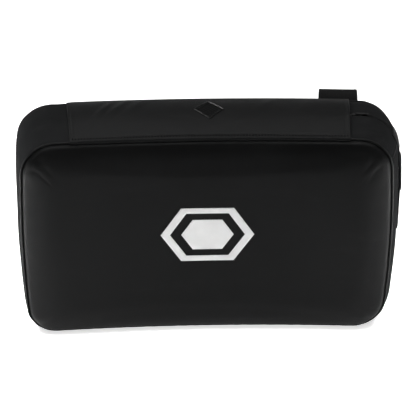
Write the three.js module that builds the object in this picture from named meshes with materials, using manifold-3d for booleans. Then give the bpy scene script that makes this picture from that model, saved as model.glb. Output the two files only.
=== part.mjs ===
// Curved kick shield: laminated foam in a zipped cover, with a flap over the zip, a forearm strap
// and a grip on its back, and a carry handle on one end.
//
// Millimetres. +X runs along the shield, -Y faces the striker, +Z is up. The origin is the middle
// of the flat underside that the shield stands on.
//
// The body is laid out flat first, in three coordinates: u along its length, v up from its middle
// and w back from the front seam. place() then bends it about an upright axis in front of it.
// The edge of the body is walked by arc length s, clockwise from the top centre.

import * as THREE from 'three';
import { mergeVertices } from 'three/addons/utils/BufferGeometryUtils.js';
import ManifoldModule from 'manifold-3d';

const wasm = await ManifoldModule();
wasm.setup();

// ---- Driving dimensions ------------------------------------------------------------------

const LENGTH = 600;
const HEIGHT = 360;
const DEPTH = 142;
const BEND_RADIUS = 3300;
const CORNERS = { topRight: 50, topLeft: 54, bottomLeft: 46, bottomRight: 52 };
const SIDE_BOW = { left: 7, right: 9 };
const GUSSET_CROWN = { top: 9, bottom: 0, left: 4, right: 11 };

const GAP = 0.3;
const COVER = 2;
const GUSSET_MARGIN = 2;
const PIPING_RADIUS = 1.6;
const PANEL_INSET = 4;
const STRIKE_CROWN = 20.4;
const STRIKE_ROLL = 62;
const BACK_CROWN = 6;
const BACK_ROLL = 30;

const FOAM_INSET = 6.7;
const STRIKE_FOAM_BACK = 30;
const CORE_FOAM_BACK = 110;

const ZIP = { depth: DEPTH / 2, halfGap: 3.5, left: -212, right: 249.5, slider: 242 };
const ZIP_END = 312;
const TAPE = { width: 12, thickness: 0.6 };
const COIL = { inner: 0.8, outer: 3.1, thickness: 1.4 };

const FLAP = { left: -218, right: 232, back: 141.5, thickness: 1.6, foldY: 8, foldRise: 4 };
const FLAP_CORNER = 12;
const FLAP_CLEARANCE = 3.3;
const HOOK_AND_LOOP = { left: -205, right: 218, front: 97, back: 123, thickness: 1.2 };
const LOZENGE = { u: 4, w: 92, halfWidth: 23, halfDepth: 36, thickness: 1 };

const MARK = { u: 1, v: 13, halfWidth: 78, halfHeight: 50, shoulder: 44, thickness: 0.4 };

const STRAP = { u: 218, width: 62, thickness: 2, arch: 34, reach: 75.6 };
const GRIP = { u: -110, midHeight: 190, webbing: 12, thickness: 3, radius: 14, sleeve: 112 };
const HANDLE = { top: 326, bottom: 448, width: 38, tab: 26, standOff: 2, thickness: 1.8 };

// ---- Materials -----------------------------------------------------------------------------

const material = (color, roughness) =>
  new THREE.MeshStandardMaterial({ color, roughness, metalness: 0 });
const coverLeather = () => material(0x1b1b1c, 0.5);
const flapLeather = () => material(0x242426, 0.55);
const foam = () => material(0x4a4d52, 0.95);
const webbing = () => material(0x141415, 0.9);
const hookAndLoop = () => material(0x101011, 1);
const printedMark = () => material(0xdcdcdc, 0.6);
const blackMetal = () =>
  new THREE.MeshStandardMaterial({ color: 0x17171a, roughness: 0.35, metalness: 0.8 });
const zipPlastic = () => material(0x0c0c0d, 0.45);

// ---- Building closed solids ------------------------------------------------------------------

const place = ([u, v, w]) => {
  const angle = u / BEND_RADIUS;
  const reach = BEND_RADIUS + w;
  return [
    reach * Math.sin(angle),
    reach * Math.cos(angle) - BEND_RADIUS - DEPTH / 2,
    v + HEIGHT / 2,
  ];
};

const steps = (from, to, count) =>
  Array.from({ length: count + 1 }, (_, i) => from + ((to - from) * i) / count);

const mix = (a, b, t) => a + (b - a) * Math.min(Math.max(t, 0), 1);

function signedVolume(points, triangles) {
  const corner = (i) => new THREE.Vector3(...points[i]);
  return triangles.reduce(
    (sum, [a, b, c]) => sum + corner(a).dot(corner(b).cross(corner(c))) / 6,
    0,
  );
}

// Joins rings of equal point counts into one closed solid. An open run of rings is closed at both
// ends by rungs between its two sides; with apex, those rungs start and end in single points.
function loft(rings, { closed = false, apex = false } = {}) {
  const count = rings[0].length;
  const triangles = [];
  const addTriangle = (a, b, c) => {
    if (a !== b && b !== c && c !== a) triangles.push([a, b, c]);
  };
  const addQuad = (a, b, c, d) => {
    addTriangle(a, b, c);
    addTriangle(a, c, d);
  };
  const lastRing = rings.length - 1;
  for (let i = 0; i < (closed ? rings.length : lastRing); i += 1) {
    const here = i * count;
    const next = ((i + 1) % rings.length) * count;
    for (let j = 0; j < count; j += 1) {
      const k = (j + 1) % count;
      addQuad(here + j, here + k, next + k, next + j);
    }
  }
  const partner = (j) => ((apex ? 0 : -1) - j + 2 * count) % count;
  for (let j = 0; !closed && j < count / 2; j += 1) {
    const rung = [j + 1, j, partner(j), partner(j + 1)];
    addQuad(...rung);
    addQuad(...rung.map((k) => k + lastRing * count).reverse());
  }
  const points = rings.flat().map(place);
  const faces = signedVolume(points, triangles) > 0 ? triangles : triangles.map((t) => t.reverse());
  const geometry = new THREE.BufferGeometry();
  geometry.setAttribute('position', new THREE.Float32BufferAttribute(points.flat(), 3));
  geometry.setIndex(faces.flat());
  return geometry;
}

function named(name, geometry, look) {
  const mesh = new THREE.Mesh(geometry, look);
  mesh.name = name;
  return mesh;
}

// ---- The body's outline ----------------------------------------------------------------------

// How finely each leg of the outline is divided, clockwise from the top centre.
const LEG_STEPS = [6, 6, 4, 6, 12, 6, 4, 6, 6];

const straightLeg = (from, to, normal) => ({
  length: Math.hypot(to[0] - from[0], to[1] - from[1]),
  at: (t) => ({
    u: mix(from[0], to[0], t),
    v: mix(from[1], to[1], t),
    nu: normal[0],
    nv: normal[1],
  }),
});

const cornerLeg = (centre, radius, startAngle) => ({
  length: (radius * Math.PI) / 2,
  at: (t) => {
    const angle = startAngle - (t * Math.PI) / 2;
    const nu = Math.cos(angle);
    const nv = Math.sin(angle);
    return { u: centre[0] + radius * nu, v: centre[1] + radius * nv, nu, nv };
  },
});

function outlineLegs(inset) {
  const radius = (corner) => Math.max(CORNERS[corner] - inset, 0.45 * CORNERS[corner]);
  const tr = radius('topRight');
  const tl = radius('topLeft');
  const bl = radius('bottomLeft');
  const br = radius('bottomRight');
  const u = LENGTH / 2 - inset;
  const v = HEIGHT / 2 - inset;
  return [
    straightLeg([0, v], [u - tr, v], [0, 1]),
    cornerLeg([u - tr, v - tr], tr, Math.PI / 2),
    straightLeg([u, v - tr], [u, br - v], [1, 0]),
    cornerLeg([u - br, br - v], br, 0),
    straightLeg([u - br, -v], [bl - u, -v], [0, -1]),
    cornerLeg([bl - u, bl - v], bl, -Math.PI / 2),
    straightLeg([-u, bl - v], [-u, v - tl], [-1, 0]),
    cornerLeg([tl - u, v - tl], tl, Math.PI),
    straightLeg([tl - u, v], [0, v], [0, 1]),
  ];
}

// The two ends of the body bow outwards.
function bowed(point) {
  const bow = (point.nu > 0 ? SIDE_BOW.right : SIDE_BOW.left) * point.nu;
  const belly = 1 - ((2 * point.v) / HEIGHT) ** 2;
  return { ...point, u: point.u + bow * belly };
}

const EDGE_LEGS = outlineLegs(0);
const PERIMETER = EDGE_LEGS.reduce((sum, leg) => sum + leg.length, 0);

function edgeAt(s) {
  let rest = ((s % PERIMETER) + PERIMETER) % PERIMETER;
  const leg = EDGE_LEGS.find((candidate) => {
    if (rest <= candidate.length) return true;
    rest -= candidate.length;
    return false;
  });
  return bowed(leg.at(rest / leg.length));
}

const LAP = EDGE_LEGS.flatMap((leg, i) => {
  const start = EDGE_LEGS.slice(0, i).reduce((sum, earlier) => sum + earlier.length, 0);
  return steps(start, start + leg.length, LEG_STEPS[i]).slice(0, -1);
});

// The arc lengths at which a strip from one place to another is divided.
function stations(from, to, extra = []) {
  const laps = [-PERIMETER, 0, PERIMETER].flatMap((turn) => LAP.map((s) => s + turn));
  const inside = [...laps, ...extra].filter((s) => s > from + 1 && s < to - 1);
  return [from, ...inside, to].sort((a, b) => a - b);
}

// A ring around the body at one depth, from the middle of the left end over the top.
function ring(inset, w) {
  const points = outlineLegs(inset).flatMap((leg, i) =>
    steps(0, 1, LEG_STEPS[i]).slice(0, -1).map((t) => bowed(leg.at(t))),
  );
  const start = LEG_STEPS.slice(0, 6).reduce((a, b) => a + b) + LEG_STEPS[6] / 2;
  return [...points.slice(start), ...points.slice(0, start)].map(({ u, v }) => [u, v, w]);
}

const offEdge = (edge, w, n) => [edge.u + edge.nu * n, edge.v + edge.nv * n, w];

const sideShare = ({ nu, nv }, sides) =>
  sides.top * Math.max(nv, 0) ** 2 +
  sides.bottom * Math.max(-nv, 0) ** 2 +
  sides.right * Math.max(nu, 0) ** 2 +
  sides.left * Math.max(-nu, 0) ** 2;

// How far the gusset's outside stands off the outline at a depth.
const gussetHeight = (edge, w) =>
  sideShare(edge, GUSSET_CROWN) * (1 - ((2 * w) / DEPTH - 1) ** 2);

// A sheet over the body's edge. span(s) gives its two depths there and floor(edge, w, s) the
// height of its underside.
function edgeSheet({ from, to, extra, span, floor, thickness, across = 4 }) {
  const rings = stations(from, to, extra).map((s) => {
    const edge = edgeAt(s);
    const depths = steps(...span(s), across);
    const outside = depths.map((w) => offEdge(edge, w, floor(edge, w, s) + thickness));
    const inside = depths.map((w) => offEdge(edge, w, floor(edge, w, s)));
    return [...outside, ...inside.reverse()];
  });
  return loft(rings);
}

// ---- Cover -------------------------------------------------------------------------------------

const CROWN_STEPS = [0, 0.06, 0.22, 0.52, 1];

// Rings of a domed face, from its edge inwards. A negative rise comes forwards.
const crownRings = (inset, depth, rise, roll) =>
  CROWN_STEPS.map((t) =>
    ring(mix(inset, roll, t), depth + rise * Math.sqrt(1 - (1 - t) ** 2)),
  );

function domedPanel(seam, crown, roll) {
  const side = Math.sign(crown);
  const depth = seam - side;
  const outer = crownRings(PANEL_INSET, depth, crown + side, roll);
  const inner = crownRings(PANEL_INSET + COVER, depth, crown + side - side * COVER, roll);
  return loft([...outer.reverse(), ...inner], { apex: true });
}

// The piping is drawn up a little along the underside, so that the shield rests on its gusset.
function piping(seam) {
  const lift = { top: 1.1, bottom: 2, left: 1.1, right: 1.1 };
  const rings = LAP.map((s) => {
    const edge = edgeAt(s);
    const centre = -sideShare(edge, lift);
    return steps(0, 2 * Math.PI, 6).slice(1).map((angle) =>
      offEdge(
        edge,
        seam + PIPING_RADIUS * Math.sin(angle),
        centre + PIPING_RADIUS * Math.cos(angle),
      ),
    );
  });
  return loft(rings, { closed: true });
}

const coverFloor = (edge, w) => gussetHeight(edge, w) - COVER;

function mainGusset() {
  return edgeSheet({
    from: ZIP_END + GAP,
    to: PERIMETER + ZIP.left - GAP,
    span: () => [GUSSET_MARGIN, DEPTH - GUSSET_MARGIN],
    floor: coverFloor,
    thickness: COVER,
    across: 6,
  });
}

// The slot between the zip gussets closes to a plain butted seam beyond the zip.
const SLOT_CLOSES = { from: ZIP.right + 5, to: ZIP.right + 19 };
const zipHalfGap = (s) =>
  mix(ZIP.halfGap, GAP, (s - SLOT_CLOSES.from) / (SLOT_CLOSES.to - SLOT_CLOSES.from));

function zipGusset(side) {
  return edgeSheet({
    from: ZIP.left,
    to: ZIP_END,
    extra: [SLOT_CLOSES.from, SLOT_CLOSES.to],
    span: (s) =>
      side === 'front'
        ? [GUSSET_MARGIN, ZIP.depth - zipHalfGap(s)]
        : [ZIP.depth + zipHalfGap(s), DEPTH - GUSSET_MARGIN],
    floor: coverFloor,
    thickness: COVER,
  });
}

// The foam behind a domed panel keeps a small gap to it all over.
function strikeFoam() {
  const rise = -(STRIKE_CROWN + 1 - COVER - 2 * GAP);
  const dome = crownRings(FOAM_INSET, 1, rise, STRIKE_ROLL);
  return loft([...dome.reverse(), ring(FOAM_INSET, STRIKE_FOAM_BACK)], { apex: true });
}

const coreFoam = () =>
  loft([ring(FOAM_INSET, STRIKE_FOAM_BACK + GAP), ring(FOAM_INSET, CORE_FOAM_BACK)], {
    apex: true,
  });

function backFoam() {
  const rise = BACK_CROWN + 1 - COVER - 2 * GAP;
  const dome = crownRings(FOAM_INSET, DEPTH - 1, rise, BACK_ROLL);
  return loft([ring(FOAM_INSET, CORE_FOAM_BACK + GAP), ...dome], { apex: true });
}

function buildCover(group) {
  group.add(
    named('strike_panel', domedPanel(0, -STRIKE_CROWN, STRIKE_ROLL), coverLeather()),
    named('back_panel', domedPanel(DEPTH, BACK_CROWN, BACK_ROLL), coverLeather()),
    named('gusset_main', mainGusset(), coverLeather()),
    named('zip_gusset_front', zipGusset('front'), coverLeather()),
    named('zip_gusset_back', zipGusset('back'), coverLeather()),
    named('front_piping', piping(0), coverLeather()),
    named('back_piping', piping(DEPTH), coverLeather()),
    named('foam_strike_layer', strikeFoam(), foam()),
    named('foam_core_block', coreFoam(), foam()),
    named('foam_back_board', backFoam(), foam()),
  );
}

// ---- Printed mark: a long hexagon inside a hexagonal ring -----------------------------------------

function hexagon(scale, perSide) {
  const corners = [
    [-MARK.halfWidth, 0],
    [-MARK.shoulder, MARK.halfHeight],
    [MARK.shoulder, MARK.halfHeight],
    [MARK.halfWidth, 0],
    [MARK.shoulder, -MARK.halfHeight],
    [-MARK.shoulder, -MARK.halfHeight],
  ];
  return corners.flatMap((corner, i) => {
    const next = corners[(i + 1) % corners.length];
    return steps(0, 1, perSide).slice(0, -1).map((t) => [
      MARK.u + scale * mix(corner[0], next[0], t),
      MARK.v + scale * mix(corner[1], next[1], t),
    ]);
  });
}

const MARK_BACK = -STRIKE_CROWN - GAP;
const MARK_FRONT = MARK_BACK - MARK.thickness;

function markRing() {
  const outer = hexagon(1, 4);
  const inner = hexagon(0.8, 4);
  const rings = outer.map((point, i) => [
    [...point, MARK_FRONT],
    [...point, MARK_BACK],
    [...inner[i], MARK_BACK],
    [...inner[i], MARK_FRONT],
  ]);
  return loft(rings, { closed: true });
}

function markCore() {
  const points = hexagon(0.56, 4);
  const at = (w) => points.map((point) => [...point, w]);
  return loft([at(MARK_FRONT), at(MARK_BACK)], { apex: true });
}

function buildMark(group) {
  group.add(
    named('strike_mark_ring', markRing(), printedMark()),
    named('strike_mark_core', markCore(), printedMark()),
  );
}

// ---- Zip -------------------------------------------------------------------------------------------

// side is -1 for the half towards the striker and 1 for the half towards the holder.
const besideZip = (side, near, far) => () =>
  [ZIP.depth + side * near, ZIP.depth + side * far].sort((a, b) => a - b);

const zipTape = (side) =>
  edgeSheet({
    from: ZIP.left + 1,
    to: ZIP.right + 4,
    span: besideZip(side, COIL.inner, TAPE.width),
    floor: (edge, w) => coverFloor(edge, w) - GAP - TAPE.thickness,
    thickness: TAPE.thickness,
  });

const alongZip = (from, to, span, thickness) =>
  edgeSheet({
    from,
    to,
    span,
    floor: (edge) => coverFloor(edge, ZIP.depth),
    thickness,
    across: 1,
  });

const STOP_LENGTH = 3;
const COIL_START = ZIP.left + 9;
const zipCoil = (side) =>
  alongZip(COIL_START, ZIP.right, besideZip(side, COIL.inner, COIL.outer), COIL.thickness);
const zipStop = (from) =>
  alongZip(from, from + STOP_LENGTH, besideZip(1, -COIL.outer, COIL.outer), COIL.thickness);

function buildZip(group) {
  group.add(
    named('zip_tape_front', zipTape(-1), webbing()),
    named('zip_tape_back', zipTape(1), webbing()),
    named('zip_coil_front', zipCoil(-1), zipPlastic()),
    named('zip_coil_back', zipCoil(1), zipPlastic()),
    named('zip_stop_open', zipStop(COIL_START - STOP_LENGTH - GAP), blackMetal()),
    named('zip_stop_closed', zipStop(ZIP.right + GAP), blackMetal()),
  );
}

function asManifold(geometry) {
  const bare = geometry.clone();
  bare.deleteAttribute('normal');
  bare.deleteAttribute('uv');
  const merged = mergeVertices(bare);
  return new wasm.Manifold(
    new wasm.Mesh({
      numProp: 3,
      vertProperties: Float32Array.from(merged.attributes.position.array),
      triVerts: Uint32Array.from(merged.index.array),
    }),
  );
}

function joined(geometries) {
  const mesh = geometries.map(asManifold).reduce((a, b) => a.add(b)).getMesh();
  const geometry = new THREE.BufferGeometry();
  geometry.setAttribute('position', new THREE.BufferAttribute(mesh.vertProperties, 3));
  geometry.setIndex(new THREE.BufferAttribute(mesh.triVerts, 1));
  return geometry;
}

const box = (x, y, z) => {
  const geometry = new THREE.BoxGeometry(x[1] - x[0], y[1] - y[0], z[1] - z[0]);
  return geometry.translate((x[0] + x[1]) / 2, (y[0] + y[1]) / 2, (z[0] + z[1]) / 2);
};

// An outline in a vertical plane, given as [across, up] points, extruded through its width.
// The result has the outline's first axis along the chosen local axis, which is x or y.
function standing(shape, width, firstAxis) {
  const geometry = new THREE.ExtrudeGeometry(shape, {
    depth: width,
    bevelEnabled: false,
    curveSegments: 8,
  });
  geometry.translate(0, 0, -width / 2);
  return firstAxis === 'x'
    ? geometry.rotateX(Math.PI / 2)
    : geometry.rotateX(Math.PI / 2).rotateZ(Math.PI / 2);
}

const SLIDER = { length: 11, halfWidth: 3.1, top: 0.8, pivotX: 2, pivotZ: 1.6, lug: 1.3 };

// The slider rides in the slot: a plate above the coils, a neck between them, a plate below.
function zipSlider() {
  const ends = [-SLIDER.length / 2, SLIDER.length / 2];
  const width = [-SLIDER.halfWidth, SLIDER.halfWidth];
  const lug = new THREE.Shape();
  lug.moveTo(SLIDER.pivotX - SLIDER.lug, 0);
  lug.lineTo(SLIDER.pivotX + SLIDER.lug, 0);
  lug.lineTo(SLIDER.pivotX + SLIDER.lug, SLIDER.pivotZ);
  lug.absarc(SLIDER.pivotX, SLIDER.pivotZ, SLIDER.lug, 0, Math.PI, false);
  const eye = new THREE.Path();
  eye.absarc(SLIDER.pivotX, SLIDER.pivotZ, 0.75, 0, 2 * Math.PI, true);
  lug.holes.push(eye);
  return joined([
    box(ends, width, [-0.3, SLIDER.top]),
    box([ends[0] + 1, ends[1] - 1], [-0.45, 0.45], [-4, 0]),
    box(ends, width, [-4.6, -3.5]),
    standing(lug, 1.4, 'x'),
  ]);
}

const PULL = { length: 20, halfWidth: 2.4, thickness: 1, slot: 1, slotLength: 1.8, pin: 0.45 };

// A forked plate on a pin through the slider's lug, laid out from the pin's axis.
function zipPull() {
  const half = PULL.thickness / 2;
  const plate = new THREE.Shape();
  plate.moveTo(-half, PULL.slot);
  plate.lineTo(PULL.slotLength, PULL.slot);
  plate.lineTo(PULL.slotLength, -PULL.slot);
  plate.lineTo(-half, -PULL.slot);
  plate.lineTo(-half, -PULL.halfWidth);
  plate.lineTo(PULL.length - PULL.halfWidth, -PULL.halfWidth);
  plate.absarc(PULL.length - PULL.halfWidth, 0, PULL.halfWidth, -Math.PI / 2, Math.PI / 2, false);
  plate.lineTo(-half, PULL.halfWidth);
  const eye = new THREE.Path();
  eye.absarc(PULL.length - PULL.halfWidth - 1, 0, 1.1, 0, 2 * Math.PI, true);
  plate.holes.push(eye);
  const body = new THREE.ExtrudeGeometry(plate, {
    depth: PULL.thickness,
    bevelEnabled: false,
    curveSegments: 8,
  });
  body.translate(0, 0, -half);
  const pin = new THREE.CylinderGeometry(PULL.pin, PULL.pin, 2 * PULL.halfWidth - 0.6, 12);
  return joined([body, pin]);
}

// A group on top of the closed zip, with x along the shield, y backwards and z up.
function onZip(u) {
  const group = new THREE.Group();
  const height = gussetHeight(edgeAt(u), ZIP.depth);
  group.position.set(...place([u, HEIGHT / 2 + height, ZIP.depth]));
  group.rotation.z = -u / BEND_RADIUS;
  return group;
}

function buildSlider(group) {
  const mount = onZip(ZIP.slider);
  const pull = named('zip_pull', zipPull(), blackMetal());
  pull.position.set(SLIDER.pivotX, 0, SLIDER.pivotZ);
  mount.add(named('zip_slider', zipSlider(), blackMetal()), pull);
  group.add(mount);
}

// ---- Flap over the zip -------------------------------------------------------------------------------

// The depth at which the straight fold line crosses the bent body.
const depthAtFold = (s, offset) =>
  (FLAP.foldY + offset + BEND_RADIUS) / Math.cos(s / BEND_RADIUS) - BEND_RADIUS;

function flapFloor(edge, w, s) {
  const fold = depthAtFold(s, 0);
  const settled = 34;
  const liftEnds = 126;
  const clearance = mix(FLAP_CLEARANCE, 1, (w - liftEnds) / (FLAP.back - liftEnds));
  const full = gussetHeight(edge, w) + clearance;
  return mix(FLAP.foldRise, full, (w - fold) / (settled - fold));
}

function flapBase() {
  const start = GUSSET_MARGIN + 0.4;
  return edgeSheet({
    from: FLAP.left,
    to: FLAP.right,
    span: (s) => [start, depthAtFold(s, -GAP)],
    floor: (edge, w, s) => {
      const low = gussetHeight(edge, start) + GAP;
      return mix(low, FLAP.foldRise, (w - start) / (depthAtFold(s, 0) - start));
    },
    thickness: FLAP.thickness,
    across: 2,
  });
}

// How far a rounded corner holds back the flap's free edge.
function flapCornerCut(s) {
  const fromEnd = Math.min(s - FLAP.left, FLAP.right - s);
  const into = Math.max(FLAP_CORNER - fromEnd, 0);
  return FLAP_CORNER - Math.sqrt(FLAP_CORNER ** 2 - into ** 2);
}

function coverFlap() {
  const roundings = [0.08, 0.3, 0.6, 1].flatMap((t) => [
    FLAP.left + t * FLAP_CORNER + 1,
    FLAP.right - t * FLAP_CORNER - 1,
  ]);
  return edgeSheet({
    from: FLAP.left,
    to: FLAP.right,
    extra: roundings,
    span: (s) => [depthAtFold(s, GAP), FLAP.back - flapCornerCut(s)],
    floor: flapFloor,
    thickness: FLAP.thickness,
    across: 8,
  });
}

const closureStrip = (floor) =>
  edgeSheet({
    from: HOOK_AND_LOOP.left,
    to: HOOK_AND_LOOP.right,
    span: () => [HOOK_AND_LOOP.front, HOOK_AND_LOOP.back],
    floor,
    thickness: HOOK_AND_LOOP.thickness,
    across: 2,
  });

function lozengePatch() {
  const tip = LOZENGE.halfWidth - 0.6;
  return edgeSheet({
    from: LOZENGE.u - tip,
    to: LOZENGE.u + tip,
    extra: [LOZENGE.u - tip / 2, LOZENGE.u, LOZENGE.u + tip / 2],
    span: (s) => {
      const half = LOZENGE.halfDepth * (1 - Math.abs(s - LOZENGE.u) / LOZENGE.halfWidth);
      return [LOZENGE.w - half, LOZENGE.w + half];
    },
    floor: (edge, w, s) => flapFloor(edge, w, s) + FLAP.thickness + 2 * GAP,
    thickness: LOZENGE.thickness,
    across: 8,
  });
}

function buildFlap(group) {
  const hookFloor = (edge, w, s) => flapFloor(edge, w, s) - GAP - HOOK_AND_LOOP.thickness;
  group.add(
    named('flap_base', flapBase(), flapLeather()),
    named('cover_flap', coverFlap(), flapLeather()),
    named('flap_hook_strip', closureStrip(hookFloor), hookAndLoop()),
    named('flap_loop_strip', closureStrip((edge, w) => gussetHeight(edge, w) + GAP), hookAndLoop()),
    named('lozenge_patch', lozengePatch(), flapLeather()),
  );
}

// ---- Webbing on the back --------------------------------------------------------------------------------

// A group on the back panel, with x along the shield, y away from the panel and z up from the
// underside.
function onBack(u) {
  const group = new THREE.Group();
  group.position.set(...place([u, -HEIGHT / 2, DEPTH + BACK_CROWN]));
  group.rotation.z = -u / BEND_RADIUS;
  return group;
}

// Walks a path in the y-z plane. heading is in degrees, 0 away from the panel and 90 up; each leg
// is [length] for a straight run or [radius, turn] for an arc, turning left when turn is positive.
function walk(start, heading, legs) {
  const points = [{ y: start[0], z: start[1], heading }];
  const go = (length, turn) => {
    const last = points.at(-1);
    const middle = THREE.MathUtils.degToRad(last.heading + turn / 2);
    points.push({
      y: last.y + length * Math.cos(middle),
      z: last.z + length * Math.sin(middle),
      heading: last.heading + turn,
    });
  };
  legs.forEach(([size, turn]) => {
    if (turn === undefined) {
      go(size, 0);
      return;
    }
    const parts = Math.ceil(Math.abs(turn) / 15);
    const each = turn / parts;
    const chord = 2 * size * Math.sin(THREE.MathUtils.degToRad(Math.abs(each) / 2));
    for (let i = 0; i < parts; i += 1) go(chord, each);
  });
  return points;
}

// A ribbon of even thickness along such a path.
function ribbon(path, width, thickness) {
  const side = (offset) =>
    path.map(({ y, z, heading }) => {
      const angle = THREE.MathUtils.degToRad(heading + 90);
      return new THREE.Vector2(y + offset * Math.cos(angle), z + offset * Math.sin(angle));
    });
  const outline = [...side(thickness / 2), ...side(-thickness / 2).reverse()];
  return standing(new THREE.Shape(outline), width, 'y');
}

const PANEL_CLEARANCE = 0.4;
const STRAP_LINE = PANEL_CLEARANCE + STRAP.thickness / 2;
const STRAP_TOP = { patch: 288, run: 34 };
const STRAP_BOTTOM = { patch: 72, run: 34, arch: 24 };
const SPLIT = 0.4;

const strapRibbon = (start, heading, legs) =>
  ribbon(walk(start, heading, legs), STRAP.width, STRAP.thickness);

// The fixed end of the strap, sewn flat to the panel and then turning out over its own arch.
const strapAnchorTop = () =>
  strapRibbon([STRAP_LINE, STRAP_TOP.patch], 90, [[STRAP_TOP.run], [STRAP.arch, -90]]);

const strapAnchorBottom = () =>
  strapRibbon([STRAP_LINE, STRAP_BOTTOM.patch], -90, [
    [STRAP_BOTTOM.run],
    [STRAP_BOTTOM.arch, 90],
  ]);

const UPPER_HINGE = {
  y: STRAP_LINE + STRAP.arch,
  z: STRAP_TOP.patch + STRAP_TOP.run + STRAP.arch,
};
const LOWER_HINGE = {
  y: STRAP_LINE + STRAP_BOTTOM.arch,
  z: STRAP_BOTTOM.patch - STRAP_BOTTOM.run - STRAP_BOTTOM.arch,
};
const UPPER_BAND_END = 212;
const OVERLAP = 40;
const CLOSURE = 1.2;
const LOWER_REACH = STRAP.reach - STRAP.thickness - 2 * CLOSURE - 2 * GAP - SPLIT;

function strapUpperBand() {
  const start = UPPER_HINGE.y + SPLIT;
  const drop = UPPER_HINGE.z - STRAP.arch - UPPER_BAND_END;
  return strapRibbon([start, UPPER_HINGE.z], 0, [
    [STRAP.reach - STRAP.arch - start],
    [STRAP.arch, -90],
    [drop],
  ]);
}

function strapLowerBand() {
  const start = LOWER_HINGE.y + SPLIT;
  const rise = UPPER_BAND_END + OVERLAP - LOWER_HINGE.z - STRAP.arch;
  return strapRibbon([start, LOWER_HINGE.z], 0, [
    [LOWER_REACH - STRAP.arch - start],
    [STRAP.arch, 90],
    [rise],
  ]);
}

// A flat patch or pad against one face of the strap's upright run.
const strapPatch = (innerY, thickness, heights, width) =>
  box([-width / 2, width / 2], [innerY, innerY + thickness], heights);

function buildStrap(group) {
  const mount = onBack(STRAP.u);
  const closureHeights = [UPPER_BAND_END + 2, UPPER_BAND_END + OVERLAP - 2];
  const closureWidth = STRAP.width - 8;
  const padThickness = 8;
  const half = STRAP.thickness / 2;
  const hookY = STRAP.reach - half - GAP - CLOSURE;
  const loopY = LOWER_REACH + half + GAP;
  const padY = LOWER_REACH - half - GAP - padThickness;
  const padHeights = [66, 206];
  mount.add(
    named('strap_anchor_top', strapAnchorTop(), webbing()),
    named('strap_anchor_bottom', strapAnchorBottom(), webbing()),
    named('strap_upper_band', strapUpperBand(), webbing()),
    named('strap_lower_band', strapLowerBand(), webbing()),
    named('strap_hook_patch', strapPatch(hookY, CLOSURE, closureHeights, closureWidth), hookAndLoop()),
    named('strap_loop_patch', strapPatch(loopY, CLOSURE, closureHeights, closureWidth), hookAndLoop()),
    named('forearm_pad', strapPatch(padY, padThickness, padHeights, STRAP.width - 4), coverLeather()),
  );
  group.add(mount);
}

const GRIP_LINE = PANEL_CLEARANCE + GRIP.thickness / 2;
const GRIP_HALF_SPAN = 90;
const GRIP_PATCH_RUN = 34;
const GRIP_TURN = 8;
const GRIP_START = 15;
const GRIP_ARCH = 32;

const gripRibbon = (start, heading, legs) =>
  ribbon(walk(start, heading, legs), GRIP.webbing, GRIP.thickness);

function gripAnchor(side) {
  const outermost = GRIP.midHeight + side * (GRIP_HALF_SPAN + GRIP_TURN + GRIP_PATCH_RUN);
  return gripRibbon([GRIP_LINE, outermost], -90 * side, [[GRIP_PATCH_RUN], [GRIP_TURN, 90 * side]]);
}

function gripWebbing() {
  const upright = 2 * (GRIP_HALF_SPAN - GRIP_ARCH);
  return gripRibbon([GRIP_START, GRIP.midHeight + GRIP_HALF_SPAN], 0, [
    [3],
    [GRIP_ARCH, -90],
    [upright],
    [GRIP_ARCH, -90],
    [3],
  ]);
}

// A round sleeve with a flat slot for the webbing.
function gripSleeve() {
  const section = new THREE.Shape();
  section.absarc(0, 0, GRIP.radius, 0, 2 * Math.PI, false);
  const x = GRIP.webbing / 2 + GAP;
  const y = GRIP.thickness / 2 + GAP;
  section.holes.push(
    new THREE.Path([
      new THREE.Vector2(-x, -y),
      new THREE.Vector2(-x, y),
      new THREE.Vector2(x, y),
      new THREE.Vector2(x, -y),
    ]),
  );
  const geometry = new THREE.ExtrudeGeometry(section, {
    depth: GRIP.sleeve,
    bevelEnabled: false,
    curveSegments: 18,
  });
  const reach = GRIP_START + 3 + GRIP_ARCH;
  return geometry.translate(0, reach, GRIP.midHeight - GRIP.sleeve / 2);
}

function buildGrip(group) {
  const mount = onBack(GRIP.u);
  mount.add(
    named('grip_anchor_top', gripAnchor(1), webbing()),
    named('grip_anchor_bottom', gripAnchor(-1), webbing()),
    named('grip_webbing', gripWebbing(), webbing()),
    named('grip_sleeve', gripSleeve(), coverLeather()),
  );
  group.add(mount);
}

// ---- Carry handle on the right end --------------------------------------------------------------------

function handleSheet(from, to, standOff, thickness) {
  return edgeSheet({
    from,
    to,
    span: () => [(DEPTH - HANDLE.width) / 2, (DEPTH + HANDLE.width) / 2],
    floor: (edge, w) => gussetHeight(edge, w) + standOff,
    thickness,
    across: 4,
  });
}

function buildEndHandle(group) {
  const tabThickness = 1.5;
  const tabStandOff = 0.7;
  const space = 0.6;
  const wrap = [345, 408];
  const wrapStandOff = HANDLE.standOff + HANDLE.thickness + GAP;
  const topTab = [HANDLE.top - space - HANDLE.tab, HANDLE.top - space];
  const bottomTab = [HANDLE.bottom + space, HANDLE.bottom + space + HANDLE.tab];
  const webbingSheet = handleSheet(
    HANDLE.top,
    HANDLE.bottom,
    HANDLE.standOff,
    HANDLE.thickness,
  );
  group.add(
    named('end_handle_tab_top', handleSheet(...topTab, tabStandOff, tabThickness), webbing()),
    named('end_handle_tab_bottom', handleSheet(...bottomTab, tabStandOff, tabThickness), webbing()),
    named('end_handle_webbing', webbingSheet, webbing()),
    named('end_handle_wrap', handleSheet(...wrap, wrapStandOff, tabThickness), webbing()),
  );
}

// ---- The shield ------------------------------------------------------------------------------------------

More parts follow.
